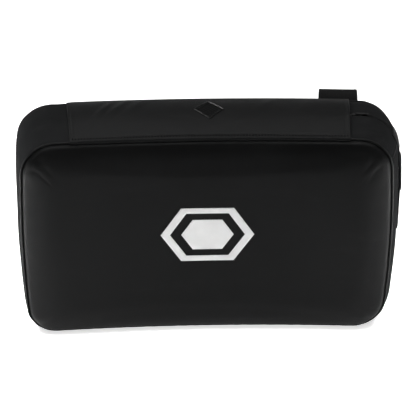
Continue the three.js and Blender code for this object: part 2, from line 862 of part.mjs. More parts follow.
const kickShield = new THREE.Group();
buildCover(kickShield);
buildMark(kickShield);
buildZip(kickShield);
buildSlider(kickShield);
buildFlap(kickShield);
buildStrap(kickShield);
buildGrip(kickShield);
buildEndHandle(kickShield);

export default kickShield;
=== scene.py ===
# Looks of the kick shield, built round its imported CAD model.
#
# Layout is in millimetres and becomes metres in place(). As in the CAD model, the body is laid out
# flat in three coordinates and then bent about an upright axis in front of it: u along its length,
# v up from its middle, w back from the front seam. Its edge is walked by arc length s, clockwise
# from the top centre, and n is the height off that edge.
import math

import bpy
import numpy as np
from mathutils import Matrix, Vector, noise
from mathutils.bvhtree import BVHTree


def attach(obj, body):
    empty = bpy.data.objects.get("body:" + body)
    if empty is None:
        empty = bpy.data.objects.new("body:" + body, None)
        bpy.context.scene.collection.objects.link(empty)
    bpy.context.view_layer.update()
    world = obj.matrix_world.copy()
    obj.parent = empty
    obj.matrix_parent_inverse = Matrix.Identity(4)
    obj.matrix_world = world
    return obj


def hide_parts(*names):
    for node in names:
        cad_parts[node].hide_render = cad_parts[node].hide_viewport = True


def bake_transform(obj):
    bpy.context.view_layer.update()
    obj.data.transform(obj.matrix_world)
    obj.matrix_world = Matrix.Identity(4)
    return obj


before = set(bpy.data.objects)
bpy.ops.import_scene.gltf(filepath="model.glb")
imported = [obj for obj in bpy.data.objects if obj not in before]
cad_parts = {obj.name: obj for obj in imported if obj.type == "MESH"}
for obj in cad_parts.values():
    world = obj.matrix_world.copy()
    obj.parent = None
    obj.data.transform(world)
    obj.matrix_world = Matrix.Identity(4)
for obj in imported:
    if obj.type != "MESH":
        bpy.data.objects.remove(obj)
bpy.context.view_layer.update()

MM = 0.001

# ---- Driving dimensions, as the CAD model has them ----

LENGTH = 600.0
HEIGHT = 360.0
DEPTH = 142.0
BEND_RADIUS = 3300.0
CORNERS = {"top_right": 50.0, "top_left": 54.0, "bottom_left": 46.0, "bottom_right": 52.0}
SIDE_BOW = {"left": 7.0, "right": 9.0}
GUSSET_CROWN = {"top": 9.0, "bottom": 0.0, "left": 4.0, "right": 11.0}
PIPING_LIFT = {"top": 1.1, "bottom": 2.0, "left": 1.1, "right": 1.1}
PIPING_RADIUS = 1.6
COVER = 1.8
SEAM_MARGIN = 1.2
STRIKE = {"inset": 4.0, "rise": -20.4, "roll": 62.0}
BACK = {"inset": 4.0, "rise": 6.0, "roll": 30.0}
FOAM = {"inset": 7.0, "soft": 3.0, "gap": 0.4, "strike_back": 30.0, "core_back": 110.0}
ZIP = {"depth": DEPTH / 2, "half_gap": 3.5, "closed_gap": 0.8, "left": -212.0, "right": 249.5,
       "slot_closes": 254.5, "slot_closed": 268.5, "end": 312.0}
FLAP = {"left": -222.0, "right": 234.0, "front": 2.4, "back": 141.5, "thickness": 1.6,
        "fold": 8.0, "rise": 4.0, "clearance": 3.3, "corner": 12.0, "hem": 7.0}
CLOSURE = {"left": -205.0, "right": 218.0, "front": 97.0, "back": 123.0, "thickness": 1.2}
LOZENGE = {"u": 6.0, "w": 79.0, "half_width": 24.5, "half_depth": 34.5, "border": 0.1}
MARK = {"u": 1.0, "v": 13.0, "half_width": 78.0, "half_height": 50.0, "shoulder": 44.0}
STRAP = {"u": 219.3, "width": 65.0, "thickness": 2.0, "line": 1.4, "anchor": 34.0,
         "top": 286.0, "arch": 34.0, "reach": 75.6, "hinge": 356.0, "drop": 108.0,
         "bottom": 72.0, "low_arch": 24.0, "low_reach": 70.2, "low_hinge": 14.0, "climb": 203.0}
PATCH = {"low": 214.0, "high": 250.0, "width": 57.0, "thickness": 1.2, "hook": 74.3, "loop": 71.5}
PAD = {"y": 60.9, "low": 66.0, "high": 206.0, "width": 61.0, "thickness": 8.0}
GRIP = {"u": -110.0, "mid": 190.0, "half": 132.0, "width": 12.0, "thickness": 2.7, "line": 1.9,
        "anchor": 34.0, "turn": 8.0, "rise": 8.1, "bend": 32.0, "span": 116.0, "stand": 50.0,
        "radius": 14.0, "sleeve": 112.0}
HANDLE = {"top": 326.0, "bottom": 448.0, "middle": 376.5, "width": 38.0, "tab": 26.0,
          "lift": 1.2, "wrap": (345.0, 400.0)}

# ---- Layout ----


def place(points):
    """Flat layout points (..., 3) in millimetres to row-frame points in metres."""
    points = np.asarray(points, float)
    angle = points[..., 0] / BEND_RADIUS
    reach = BEND_RADIUS + points[..., 2]
    x = reach * np.sin(angle)
    y = reach * np.cos(angle) - BEND_RADIUS - DEPTH / 2
    return np.stack([x, y, points[..., 1] + HEIGHT / 2], -1) * MM


def on_back(u):
    """Turns points of a frame on the back panel (x along, y away from it, z up) into the row's."""
    base = place([u, -HEIGHT / 2, DEPTH + BACK["rise"]])
    cos, sin = math.cos(u / BEND_RADIUS), math.sin(u / BEND_RADIUS)
    turn = np.array([[cos, sin, 0], [-sin, cos, 0], [0, 0, 1]])
    return lambda points: np.asarray(points, float) * MM @ turn.T + base


def straight(start, end, nu, nv):
    """A straight leg of the edge: its length, and its (u, v, nu, nv) at a share t of it."""
    (u, v), (u_end, v_end) = start, end
    length = math.hypot(u_end - u, v_end - v)
    return length, lambda t: (u + (u_end - u) * t, v + (v_end - v) * t, nu, nv)


def corner(cu, cv, radius, start):
    """A leg that is a quarter circle, clockwise from the angle start."""
    def at(t):
        angle = start - t * math.pi / 2
        nu, nv = math.cos(angle), math.sin(angle)
        return cu + radius * nu, cv + radius * nv, nu, nv

    return radius * math.pi / 2, at


def outline(inset=0.0):
    """The edge's legs from the top centre: half the top, corner, right side, and so on round."""
    tr, tl, bl, br = (max(radius - inset, 0.45 * radius) for radius in CORNERS.values())
    u, v = LENGTH / 2 - inset, HEIGHT / 2 - inset
    return [
        straight((0, v), (u - tr, v), 0, 1),
        corner(u - tr, v - tr, tr, math.pi / 2),
        straight((u, v - tr), (u, br - v), 1, 0),
        corner(u - br, br - v, br, 0),
        straight((u - br, -v), (bl - u, -v), 0, -1),
        corner(bl - u, bl - v, bl, -math.pi / 2),
        straight((-u, bl - v), (-u, v - tl), -1, 0),
        corner(tl - u, v - tl, tl, math.pi),
        straight((tl - u, v), (0, v), 0, 1),
    ]


def bowed(point):
    """A point of the edge, moved out where the ends bow."""
    u, v, nu, nv = point
    bow = SIDE_BOW["right"] if nu > 0 else SIDE_BOW["left"]
    return u + bow * nu * (1 - (2 * v / HEIGHT) ** 2), v, nu, nv


EDGE = outline()
PERIMETER = sum(length for length, _ in EDGE)


def edge_at(s):
    rest = s % PERIMETER
    for length, at in EDGE:
        if rest <= length:
            return bowed(at(rest / length))
        rest -= length
    return bowed(EDGE[-1][1](1.0))


def edges(s):
    """The edge's u, v and outward direction (nu, nv) at arc lengths s, each in the shape of s."""
    s = np.asarray(s, float)
    stations, places = np.unique(s.ravel(), return_inverse=True)
    values = np.array([edge_at(station) for station in stations])
    return values[places].T.reshape(4, *s.shape)


def edge_points(s, w, n):
    """Row-frame points at arc lengths s, depths w and heights n."""
    u, v, nu, nv = edges(s)
    return place(np.stack(np.broadcast_arrays(u + nu * n, v + nv * n, w), -1))


def share(s, sides):
    """A value of the four sides, blended at s by the direction that the edge faces there."""
    _, _, nu, nv = edges(s)
    up, down = np.maximum(nv, 0) ** 2, np.maximum(-nv, 0) ** 2
    right, left = np.maximum(nu, 0) ** 2, np.maximum(-nu, 0) ** 2
    return sides["top"] * up + sides["bottom"] * down + sides["right"] * right + sides["left"] * left


def gusset_height(s, w):
    """How far the crowned gusset stands off the edge."""
    return share(s, GUSSET_CROWN) * (1 - (2 * w / DEPTH - 1) ** 2)


def steps(start, end, size):
    """Even steps from start to end, each of about a size."""
    return np.linspace(start, end, max(int(round(abs(end - start) / size)), 1) + 1)


def ease(t):
    t = np.clip(t, 0, 1)
    return t * t * (3 - 2 * t)


def quarter(t, least=0.0):
    """Rises from 0 to 1 as a quarter circle does, starting upright. least bounds its square."""
    return np.sqrt(np.clip(1 - (1 - np.clip(t, 0, 1)) ** 2, least, 1))


def bump(distance, width):
    return np.exp(-((distance / width) ** 2))


def rough_noise(scale, seed, x, y, z=0.0):
    """Smooth noise from -1 to 1 at places in millimetres, one lump about every scale."""
    x, y, z = np.broadcast_arrays(np.asarray(x, float), y, z)
    shift = Vector((seed * 7.3, seed * 3.1, seed * 5.7))
    values = [noise.noise(Vector(p) / scale + shift) for p in zip(x.ravel(), y.ravel(), z.ravel())]
    return np.array(values).reshape(x.shape)


def run_along(line):
    """Distance along a line of points at each of them."""
    return np.concatenate([[0], np.cumsum(np.linalg.norm(np.diff(line, axis=0), axis=1))])


# ---- Meshes ----


def corners_of(mesh):
    return np.array([vertex.co for vertex in mesh.vertices])


def mesh_object(name, points, faces, look, uvs=None):
    """A smooth mesh with its faces turned outwards. uvs are one per point."""
    mesh = bpy.data.meshes.new(name)
    mesh.from_pydata(np.asarray(points, float).reshape(-1, 3).tolist(), [], faces)
    mesh.validate()
    if uvs is not None:
        layer = mesh.uv_layers.new(name="along")
        loops = np.array([loop.vertex_index for loop in mesh.loops])
        layer.data.foreach_set("uv", np.asarray(uvs, float).reshape(-1, 2)[loops].ravel())
    mesh.shade_smooth()
    mesh.update()
    piece = bpy.data.objects.new(name, mesh)
    bpy.context.scene.collection.objects.link(piece)
    mesh.materials.append(look)
    mesh.calc_loop_triangles()
    a, b, c = corners_of(mesh)[[list(t.vertices) for t in mesh.loop_triangles]].swapaxes(0, 1)
    if (a * np.cross(b, c)).sum() < 0:
        mesh.flip_normals()
    return piece


def grid_faces(rows, columns, start=0, wrap=False, closed=False):
    """Faces of a grid of points. wrap joins its last column to its first, closed its last row."""
    faces = []
    for i in range(rows if closed else rows - 1):
        a = start + i * columns
        b = start + (i + 1) % rows * columns
        for j in range(columns if wrap else columns - 1):
            k = (j + 1) % columns
            faces.append((a + j, a + k, b + k, b + j))
    return faces


def cap(start, size, back=False):
    """One face over a lap of points, seen from the front or from the back."""
    face = tuple(range(start, start + size))
    return face[::-1] if back else face


def slab(name, top, bottom, look, uvs=None):
    """A closed sheet between two equal grids of row-frame points."""
    rows, columns = top.shape[:2]
    size = rows * columns
    index = np.arange(size).reshape(rows, columns)
    rim = [*index[0], *index[1:, -1], *index[-1, -2::-1], *index[-2:0:-1, 0]]
    faces = grid_faces(rows, columns)
    faces += [tuple(i + size for i in reversed(face)) for face in faces]
    faces += [(rim[k], rim[k - 1], rim[k - 1] + size, rim[k] + size) for k in range(len(rim))]
    points = np.concatenate([top.reshape(-1, 3), bottom.reshape(-1, 3)])
    both = None if uvs is None else np.concatenate([uvs.reshape(-1, 2)] * 2)
    return mesh_object(name, points, faces, look, both)


def tube(name, line, radius, look, sides, closed=False):
    """A round tube along a line of row-frame points."""
    ahead = np.roll(line, -1, 0) - np.roll(line, 1, 0)
    if not closed:
        ahead[0], ahead[-1] = line[1] - line[0], line[-1] - line[-2]
    ahead /= np.linalg.norm(ahead, axis=1, keepdims=True)
    up = np.cross(ahead, [0.31, 0.2, 0.93])
    up /= np.linalg.norm(up, axis=1, keepdims=True)
    side = np.cross(ahead, up)
    angles = np.arange(sides)[:, None] * 2 * math.pi / sides
    ring = up[:, None] * np.cos(angles) + side[:, None] * np.sin(angles)
    points = line[:, None] + ring * np.broadcast_to(radius, len(line))[:, None, None]
    faces = grid_faces(len(line), sides, wrap=True, closed=closed)
    if not closed:
        faces += [cap(0, sides), cap((len(line) - 1) * sides, sides, back=True)]
    return mesh_object(name, points, faces, look)


# Stitch length, gap between stitches and thread radius.
LEATHER_STITCH = (3.2, 1.6, 0.42)
LOZENGE_STITCH = (2.2, 1.0, 0.38)
WEBBING_STITCH = (2.8, 1.2, 0.42)
GRIP_STITCH = (2.6, 1.2, 0.4)
SLEEVE_STITCH = (2.8, 1.4, 0.4)
# The rings of a stitch: place along its half length, size, and lift as a share of its radius.
STITCH_RINGS = [(-1.0, 0.15, -1.0), (-0.82, 0.75, -0.3), (-0.3, 1.0, 0.55),
                (0.3, 1.0, 0.55), (0.82, 0.75, -0.3), (1.0, 0.15, -1.0)]
STITCH_SIDES = 6


def stitch(tail, tip, up, half, radius):
    """Points of a thread midway between tail and tip. It dips in at half its length either way."""
    up = up / np.linalg.norm(up)
    ahead = (tip - tail) / np.linalg.norm(tip - tail)
    side = np.cross(ahead, up)
    points = []
    for along, size, lift in STITCH_RINGS:
        hub = (tail + tip) / 2 + ahead * along * half + up * lift * radius
        for angle in np.arange(STITCH_SIDES) * 2 * math.pi / STITCH_SIDES:
            points.append(hub + (side * math.cos(angle) + up * math.sin(angle)) * radius * size)
    return points


def sampled(values, along, at):
    """Each column of values, which are given at distances along, at another distance."""
    return np.array([np.interp(at, along, column) for column in values.T])


def sew(name, rows, body, slot, look, size):
    """Stitches along rows of (points, normals) in the row frame. size is length, gap and radius."""
    length, gap, radius = (value * MM for value in size)
    points, faces = [], []
    for line, normals in rows:
        along = run_along(line)
        count = max(int(along[-1] / (length + gap)), 1)
        for middle in (np.arange(count) + 0.5) * along[-1] / count:
            tail = sampled(line, along, middle - length / 2)
            tip = sampled(line, along, middle + length / 2)
            first = len(points)
            points += stitch(tail, tip, sampled(normals, along, middle), length / 2, radius)
            faces += grid_faces(len(STITCH_RINGS), STITCH_SIDES, first, wrap=True)
            faces.append(cap(first, STITCH_SIDES))
            faces.append(cap(len(points) - STITCH_SIDES, STITCH_SIDES, back=True))
    assign(mesh_object(name, points, faces, look), body, slot)


def seam_row(s, w, surface, lift):
    """A sewing line at arc lengths s and depths w, lifted off surface(s, w), with its normals."""
    s, w = np.broadcast_arrays(np.asarray(s, float), w)
    n = surface(s, w) + lift
    line = edge_points(s, w, n)
    return line, (edge_points(s, w, n + 1) - line) / MM


def assign(piece, body, slot, *nodes):
    """Gives a piece the body that carries it, if it has one, and hides the nodes it replaces. slot is not
    used.
    """
    if body:
        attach(piece, body)
    if nodes:
        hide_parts(*nodes)
    return piece


def baked(piece):
    """Gives a piece its evaluated mesh and drops its modifiers."""
    graph = bpy.context.evaluated_depsgraph_get()
    mesh = bpy.data.meshes.new_from_object(piece.evaluated_get(graph), depsgraph=graph)
    piece.modifiers.clear()
    piece.data = mesh


def blown(piece, pinned, pressure, limit, frames=20, stiffness=15.0):
    """Cloth simulation with pressure and no gravity. No point moves further than the limit."""
    start = corners_of(piece.data)
    group = piece.vertex_groups.new(name="pinned")
    for index, weight in enumerate(pinned):
        if weight > 0:
            group.add([index], float(weight), "REPLACE")
    modifier = piece.modifiers.new("cloth", "CLOTH")
    cloth = modifier.settings
    cloth.vertex_group_mass = "pinned"
    cloth.use_pressure = True
    cloth.uniform_pressure_force = pressure
    cloth.tension_stiffness = stiffness
    cloth.compression_stiffness = stiffness
    cloth.shear_stiffness = stiffness / 3
    cloth.bending_stiffness = 0.5
    cloth.effector_weights.gravity = 0
    cloth.mass = 0.3
    cloth.quality = 5
    modifier.collision_settings.use_collision = False
    modifier.point_cache.frame_start = 1
    modifier.point_cache.frame_end = frames
    for number in range(1, frames + 1):
        bpy.context.scene.frame_set(number)
    graph = bpy.context.evaluated_depsgraph_get()
    move = corners_of(piece.evaluated_get(graph).data) - start
    piece.modifiers.clear()
    bpy.context.scene.frame_set(1)
    size = np.linalg.norm(move, axis=1, keepdims=True)
    move *= limit * MM * np.tanh(size / (limit * MM)) / np.maximum(size, 1e-9)
    piece.data.vertices.foreach_set("co", (start + move).ravel())
    piece.data.update()
    piece.vertex_groups.clear()


# ---- Materials ----


class Look:
    """A node material under construction."""

    def __init__(self, name, roughness, **constants):
        self.material = bpy.data.materials.new(name)
        self.material.use_nodes = True
        self.tree = self.material.node_tree
        self.shader = self.tree.nodes["Principled BSDF"]
        for socket, value in {"Roughness": roughness, **constants}.items():
            self.shader.inputs[socket.replace("_", " ")].default_value = value
        self.where = self.tree.nodes.new("ShaderNodeTexCoord")

    def feed(self, socket, value):
        """Links an output to a socket, or sets the socket's own value."""
        if hasattr(value, "is_output"):
            self.tree.links.new(value, socket)
        else:
            socket.default_value = value

    def node(self, kind, **inputs):
        made = self.tree.nodes.new("ShaderNode" + kind)
        for name, value in inputs.items():
            self.feed(made.inputs[name.replace("_", " ")], value)
        return made

    def coords(self, source="Object", stretch=(1, 1, 1)):
        return self.node("Mapping", Vector=self.where.outputs[source], Scale=stretch).outputs[0]

    def noise(self, scale, detail=4.0, roughness=0.55, stretch=(1, 1, 1)):
        vector = self.coords(stretch=stretch)
        made = self.node("TexNoise", Vector=vector, Scale=scale, Detail=detail, Roughness=roughness)
        return made.outputs["Fac"]

    def cells(self, scale, feature="F1"):
        made = self.node("TexVoronoi", Vector=self.coords(), Scale=scale)
        made.feature = feature
        return made.outputs["Distance"]

    def waves(self, pitch, direction, distortion):
        """A band pattern with one band every pitch metres."""
        made = self.node("TexWave", Vector=self.coords("UV"), Scale=math.pi / 10 / pitch,
                         Distortion=distortion)
        made.bands_direction = direction
        return made.outputs["Fac"]

    def ramp(self, value, *stops):
        made = self.node("ValToRGB", Fac=value)
        for element, (position, colour) in zip(made.color_ramp.elements, stops):
            element.position = position
            element.color = colour
        return made.outputs["Color"]

    def math(self, operation, first, second):
        made = self.node("Math")
        made.operation = operation
        self.feed(made.inputs[0], first)
        self.feed(made.inputs[1], second)
        return made.outputs[0]

    def spread(self, value, low, high, start=0.3, end=0.7):
        """Maps a value between start and end onto low to high."""
        return self.node("MapRange", Value=value, From_Min=start, From_Max=end, To_Min=low,
                         To_Max=high).outputs[0]

    def mixed(self, factor, first, second, blend="MIX"):
        made = self.node("Mix")
        made.data_type = "RGBA"
        made.blend_type = blend
        # The colour sockets share their names with those of other data types, so all go by number.
        for number, value in ((0, factor), (6, first), (7, second)):
            self.feed(made.inputs[number], value)
        return made.outputs[2]

    def finished(self, colour, roughness, *relief):
        """Joins the parts up. relief is bump layers of (height, distance in metres, strength)."""
        self.feed(self.shader.inputs["Base Color"], colour)
        self.feed(self.shader.inputs["Roughness"], roughness)
        normal = None
        for height, distance, strength in relief:
            made = self.node("Bump", Height=height, Distance=distance, Strength=strength)
            if normal:
                self.feed(made.inputs["Normal"], normal)
            normal = made.outputs["Normal"]
        if normal:
            self.feed(self.shader.inputs["Normal"], normal)
        return self.material


def grey(value, tint=0.0):
    """A grey colour that leans to blue by tint."""
    return (value * (1 - tint), value, value * (1 + tint), 1)


def leather(name, dark, light, roughness, specular, grain=1.0, scuffs=0.35):
    """Matt synthetic leather: pebble grain with painted shade in the grooves between pebbles, soft
    blotches, faint scuffs.
    """
    look = Look(name, roughness, Specular_IOR_Level=specular, IOR=1.5)
    pebbles = look.cells(820, "DISTANCE_TO_EDGE")
    fine = look.noise(2600, 3, 0.6)
    creases = look.noise(190, 5, 0.62)
    blotches = look.noise(9, 4, 0.55)
    streaks = look.noise(26, 8, 0.7, stretch=(0.35, 1, 1.6))
    base = look.ramp(blotches, (0.3, grey(dark, 0.03)), (0.72, grey(light, 0.02)))
    # The grooves between pebbles are darkened: painted shade where the grain's relief dips.
    grain_groove_shade = look.ramp(pebbles, (0.0, grey(0.72)), (0.12, grey(1.0)))
    scuffed = look.spread(streaks, 0.0, scuffs, 0.56, 0.78)
    colour = look.mixed(0.5, base, grain_groove_shade, "MULTIPLY")
    colour = look.mixed(scuffed, colour, grey(light * 2.1))
    worn = look.spread(blotches, roughness - 0.05, roughness + 0.06)
    worn = look.math("ADD", worn, look.spread(fine, -0.05, 0.05))
    raised = look.spread(pebbles, 0, 1, 0, 0.16)
    return look.finished(colour, worn, (creases, 0.0005 * grain, 0.35),
                         (raised, 0.00012 * grain, 0.45), (fine, 0.00005 * grain, 0.4))


def woven(name, dark, light, pitch=0.0016, specular=0.2):
    """Webbing: warp ribs along it crossed by the weft, with painted shade between the ribs, and fuzz."""
    look = Look(name, 0.85, Specular_IOR_Level=specular, Sheen_Weight=0.02, Sheen_Roughness=0.5)
    warp = look.waves(pitch, "X", 0.25)
    weft = look.waves(pitch * 0.75, "Y", 0.4)
    weave = look.math("MULTIPLY", warp, weft)
    fuzz = look.noise(2400, 4, 0.7)
    patches = look.noise(45, 3)
    # Darker where the weave dips between its ribs: painted shade.
    base = look.ramp(weave, (0.0, grey(dark)), (0.8, grey(light)))
    colour = look.mixed(look.spread(patches, 0.0, 0.3), base, grey(light * 1.5))
    return look.finished(colour, look.spread(fuzz, 0.75, 0.95), (weave, 0.0006, 0.8),
                         (fuzz, 0.00015, 0.5))


def open_foam(name, tone):
    """Foam: round cells, with painted shade in their hollows, over soft lumps."""
    look = Look(name, 0.95, Specular_IOR_Level=0.15)
    cells = look.cells(620)
    lumps = look.noise(60, 5)
    # Darker at the middle of each cell, where the relief dips: painted shade in the pores.
    base = look.ramp(cells, (0.0, (tone * 0.5, tone * 0.53, tone * 0.58, 1)),
                     (0.6, (tone, tone * 1.04, tone * 1.1, 1)))
    colour = look.mixed(look.spread(lumps, 0, 0.35), base, grey(tone * 1.6))
    return look.finished(colour, look.spread(lumps, 0.88, 1.0), (cells, 0.0008, 0.7),
                         (lumps, 0.0006, 0.3))


def vinyl_print(name):
    """White printed film that lets the leather's grain through, with faint wear."""
    look = Look(name, 0.45, Specular_IOR_Level=0.3)
    pebbles = look.cells(820, "DISTANCE_TO_EDGE")
    wear = look.noise(140, 8, 0.75)
    soil = look.noise(22, 4)
    base = look.ramp(soil, (0.3, grey(0.66)), (0.7, (0.74, 0.74, 0.735, 1)))
    colour = look.mixed(look.spread(wear, 0.0, 0.5, 0.66, 0.86), base, grey(0.38))
    rough = look.spread(wear, 0.38, 0.56)
    raised = look.spread(pebbles, 0, 1, 0, 0.16)
    return look.finished(colour, rough, (raised, 0.0001, 0.35), (wear, 0.0001, 0.2))


def hook_pile(name, tone, height):
    """Hook or loop tape: a dense pile on a dark ground."""
    look = Look(name, 0.95, Specular_IOR_Level=0.15, Sheen_Weight=0.04, Sheen_Roughness=0.5)
    tufts = look.cells(1500)
    fluff = look.noise(900, 6, 0.7)
    base = look.ramp(tufts, (0.0, grey(tone * 1.8)), (0.55, grey(tone * 0.6)))
    colour = look.mixed(look.spread(fluff, 0, 0.5), base, grey(tone * 2.2))
    return look.finished(colour, look.spread(fluff, 0.85, 1.0), (tufts, height, 0.9),
                         (fluff, height * 0.6, 0.6))


def moulded(name, tone, roughness):
    """Moulded plastic with a faint speckle."""
    look = Look(name, roughness, Specular_IOR_Level=0.4)
    speckle = look.noise(1200, 4)
    drift = look.noise(70, 3)
    colour = look.ramp(drift, (0.3, grey(tone)), (0.7, grey(tone * 1.7)))
    rough = look.spread(speckle, roughness - 0.06, roughness + 0.1)
    return look.finished(colour, rough, (speckle, 0.00004, 0.4))


def painted_metal(name):
    """Black-plated zinc, rubbed brighter in places."""
    look = Look(name, 0.32, Metallic=0.85, Specular_IOR_Level=0.5)
    rubbed = look.noise(420, 6, 0.65)
    scratches = look.noise(700, 3, 0.6, stretch=(1, 7, 1))
    colour = look.mixed(look.spread(rubbed, 0.0, 0.8, 0.6, 0.78), grey(0.035), grey(0.32))
    return look.finished(colour, look.spread(scratches, 0.24, 0.46), (scratches, 0.00003, 0.5),
                         (rubbed, 0.00004, 0.3))


def thread(name, tone, specular=0.3):
    """Sewing thread with its ply."""
    look = Look(name, 0.55, Specular_IOR_Level=specular)
    ply = look.noise(3000, 3, 0.6, stretch=(1, 1, 2.5))
    drift = look.noise(80, 2)
    colour = look.mixed(look.spread(drift, 0, 0.5), grey(tone), grey(tone * 1.8))
    return look.finished(colour, look.spread(ply, 0.45, 0.7), (ply, 0.00015, 0.6))


FACE = leather("strike_leather", 0.003, 0.0048, 0.44, 0.07, grain=0.9)
GUSSET = leather("gusset_leather", 0.011, 0.0155, 0.9, 0.004)
FLAP_LEATHER = leather("flap_leather", 0.0045, 0.007, 0.5, 0.07, grain=1.2)
PIPING = leather("piping_leather", 0.005, 0.0075, 0.45, 0.1, grain=0.6, scuffs=0.2)
DARK_LEATHER = leather("patch_leather", 0.0022, 0.0038, 0.6, 0.05, grain=1.6, scuffs=0.1)
PATCH_EDGE = leather("patch_edge_leather", 0.0015, 0.003, 0.26, 0.5, grain=0.5, scuffs=0.1)
WEBBING = woven("webbing_weave", 0.0022, 0.0065, specular=0.1)
TAPE_CLOTH = woven("zip_tape_cloth", 0.004, 0.010, pitch=0.0009)
STRIKE_FOAM = open_foam("strike_foam", 0.075)
CORE_FOAM = open_foam("core_foam", 0.05)
BACK_FOAM = open_foam("back_foam", 0.1)
PRINT = vinyl_print("white_print")
HOOKS = hook_pile("hook_tape", 0.008, 0.0005)
LOOPS = hook_pile("loop_tape", 0.011, 0.0008)
COIL_PLASTIC = moulded("coil_plastic", 0.008, 0.36)
METAL = painted_metal("plated_metal")
THREAD = thread("black_thread", 0.012)
# Thread of the flap's front row: real thread, made near black and without gloss so that it also stands
# for the shade in its needle holes, a painted shade.
HOLE_SHADE_THREAD = thread("thread_and_painted_hole_shade", 0.0008, specular=0.0)


# ---- Cover: the two domed panels ----

# Points on each leg of a lap: half the left end, corner, top, corner, right end, and so on round.
LAP_POINTS = [22, 24, 84, 24, 44, 24, 84, 24, 22]
# Half the length of the line on which the laps of a panel close.
SPINE = 118.0
# Inset and tuck of the laps that are turned in at a panel's seam, and how deep the panel sits there.
TURN_IN = [(1.6, 2.6), (2.3, 1.2), (3.0, 0.2)]
PANEL_SINK = 0.6


def lap_round(inset):
    """One lap of (u, v) from the middle of the left end, over the top."""
    legs = [at for _, at in outline(inset)]
    top_right, right_corner, right, low_right_corner, bottom, low_left_corner = legs[:6]
    left, left_corner, top_left = legs[6:]
    walks = [
        lambda t: left(0.5 + t / 2),
        left_corner,
        lambda t: top_left(2 * t) if t < 0.5 else top_right(2 * t - 1),
        right_corner,
        right,
        low_right_corner,
        bottom,
        low_left_corner,
        lambda t: left(t / 2),
    ]
    points = []
    for walk_at, count in zip(walks, LAP_POINTS):
        points += [bowed(walk_at(i / count))[:2] for i in range(count)]
    return np.array(points)


LAP_S = run_along(lap_round(0))


def with_depth(flat, w):
    """Layout points of flat (u, v) ones at a depth, or at one depth each."""
    return np.column_stack([flat, np.broadcast_to(w, len(flat))])


def closing_laps(last, count):
    """Shares of the way in, and laps of (u, v), that carry a last lap in to a short line along u."""
    spine = np.stack([np.clip(last[:, 0] * 0.5, -SPINE, SPINE), np.zeros(len(last))], -1)
    return [(t, last * (1 - t) + spine * t) for t in np.linspace(0, 0.985, count)[1:]]


def crown(depth_at, side, shape):
    """Laps of a domed panel and their insets, from where it is turned in to its middle.
    The first laps tuck under; then the dome rises, and the last laps close on a spine."""
    made = [(inset, lap_round(inset), -side * tuck) for inset, tuck in TURN_IN]
    for t in np.linspace(0, 1, 17)[1:] ** 1.7:
        inset = shape["inset"] + (shape["roll"] - shape["inset"]) * t
        flat = lap_round(inset)
        made.append((inset, flat, depth_at(inset, *flat.T)))
    for t, flat in closing_laps(made[-1][1], 22):
        inset = shape["roll"] + (HEIGHT / 2 - shape["roll"]) * t
        made.append((inset, flat, depth_at(inset, *flat.T)))
    seam = DEPTH if side > 0 else 0.0
    laps = np.array([with_depth(flat, seam + depth) for _, flat, depth in made])
    return laps, np.array([inset for inset, _, _ in made])


def dome(inset, shape):
    t = (inset - shape["inset"]) / (shape["roll"] - shape["inset"])
    return shape["rise"] * quarter(t) - PANEL_SINK


def strike_depth(inset, u, v):
    """The dome, a soft swell over its middle, and puckers that die out from the seam."""
    by_corner = bump(np.abs(u) - 268, 46) * bump(np.abs(v) - 148, 52)
    wave = np.sin(LAP_S / 5.4 + 2.2 * rough_noise(60, 3, u, v))
    puckers = wave * (0.22 + 0.6 * by_corner) * np.exp(-inset / 13)
    lumps = 0.7 * rough_noise(120, 1, u, v) + 0.25 * rough_noise(45, 2, u, v)
    return dome(inset, STRIKE) + puckers + lumps * ease(inset / 50)


def back_depth(inset, u, v):
    """The same for the back panel, which is flatter and smoother."""
    wave = np.sin(LAP_S / 6.1 + 2.5 * rough_noise(70, 7, u, v))
    puckers = wave * 0.25 * np.exp(-inset / 16)
    lumps = 0.4 * rough_noise(90, 5, u, v)
    return dome(inset, BACK) + puckers + (lumps - 0.5) * ease(inset / 50)


def rungs(first, size):
    """Faces that close a lap starting at vertex first, between its upper and lower halves."""
    half, last = size // 2, first + size
    faces = [(first + j, first + j + 1, last - j - 1, last - j) for j in range(1, half - 1)]
    faces.append((first, first + 1, last - 1))
    faces.append((first + half - 1, first + half, first + half + 1))
    return faces


def thicken(piece):
    """Gives an open skin of the cover its thickness, on the inside."""
    modifier = piece.modifiers.new("thickness", "SOLIDIFY")
    modifier.thickness = COVER * MM
    modifier.offset = -1
    modifier.use_even_offset = False
    baked(piece)


def turn_towards(piece, direction):
    """Turns an open skin's faces so that they look along direction on the whole."""
    total = sum((polygon.normal * polygon.area for polygon in piece.data.polygons), Vector())
    if total.dot(Vector(direction)) < 0:
        piece.data.flip_normals()


def build_panel(name, node, depth_at, side, shape, look, pressure, limit):
    laps, insets = crown(depth_at, side, shape)
    count, size = laps.shape[:2]
    faces = grid_faces(count, size, wrap=True) + rungs((count - 1) * size, size)
    piece = mesh_object(name, place(laps), faces, look)
    turn_towards(piece, (0, side, 0))
    held = np.repeat(np.clip((9 - insets) / 5, 0, 1), size)
    blown(piece, held, pressure, limit)
    thicken(piece)
    assign(piece, "shield", "cover_leather", node)
    return piece


# ---- Cover: gussets ----


def seam_dip(distance):
    """How far leather turns in next to a seam at that distance."""
    return 1.5 * np.exp(-np.maximum(distance, 0) / 1.5)


def ruffle(s, distance, seed):
    """Little gathers that run off a seam, strongest round the corners."""
    _, _, nu, nv = edges(s)
    phase = rough_noise(16, seed, s, distance * 0.6, seed * 20.0)
    wave = np.sin(s / 3.4 + 3.2 * phase)
    by_corner = 4 * nu**2 * nv**2
    return wave * (0.16 + 0.6 * by_corner) * np.exp(-distance / 17)


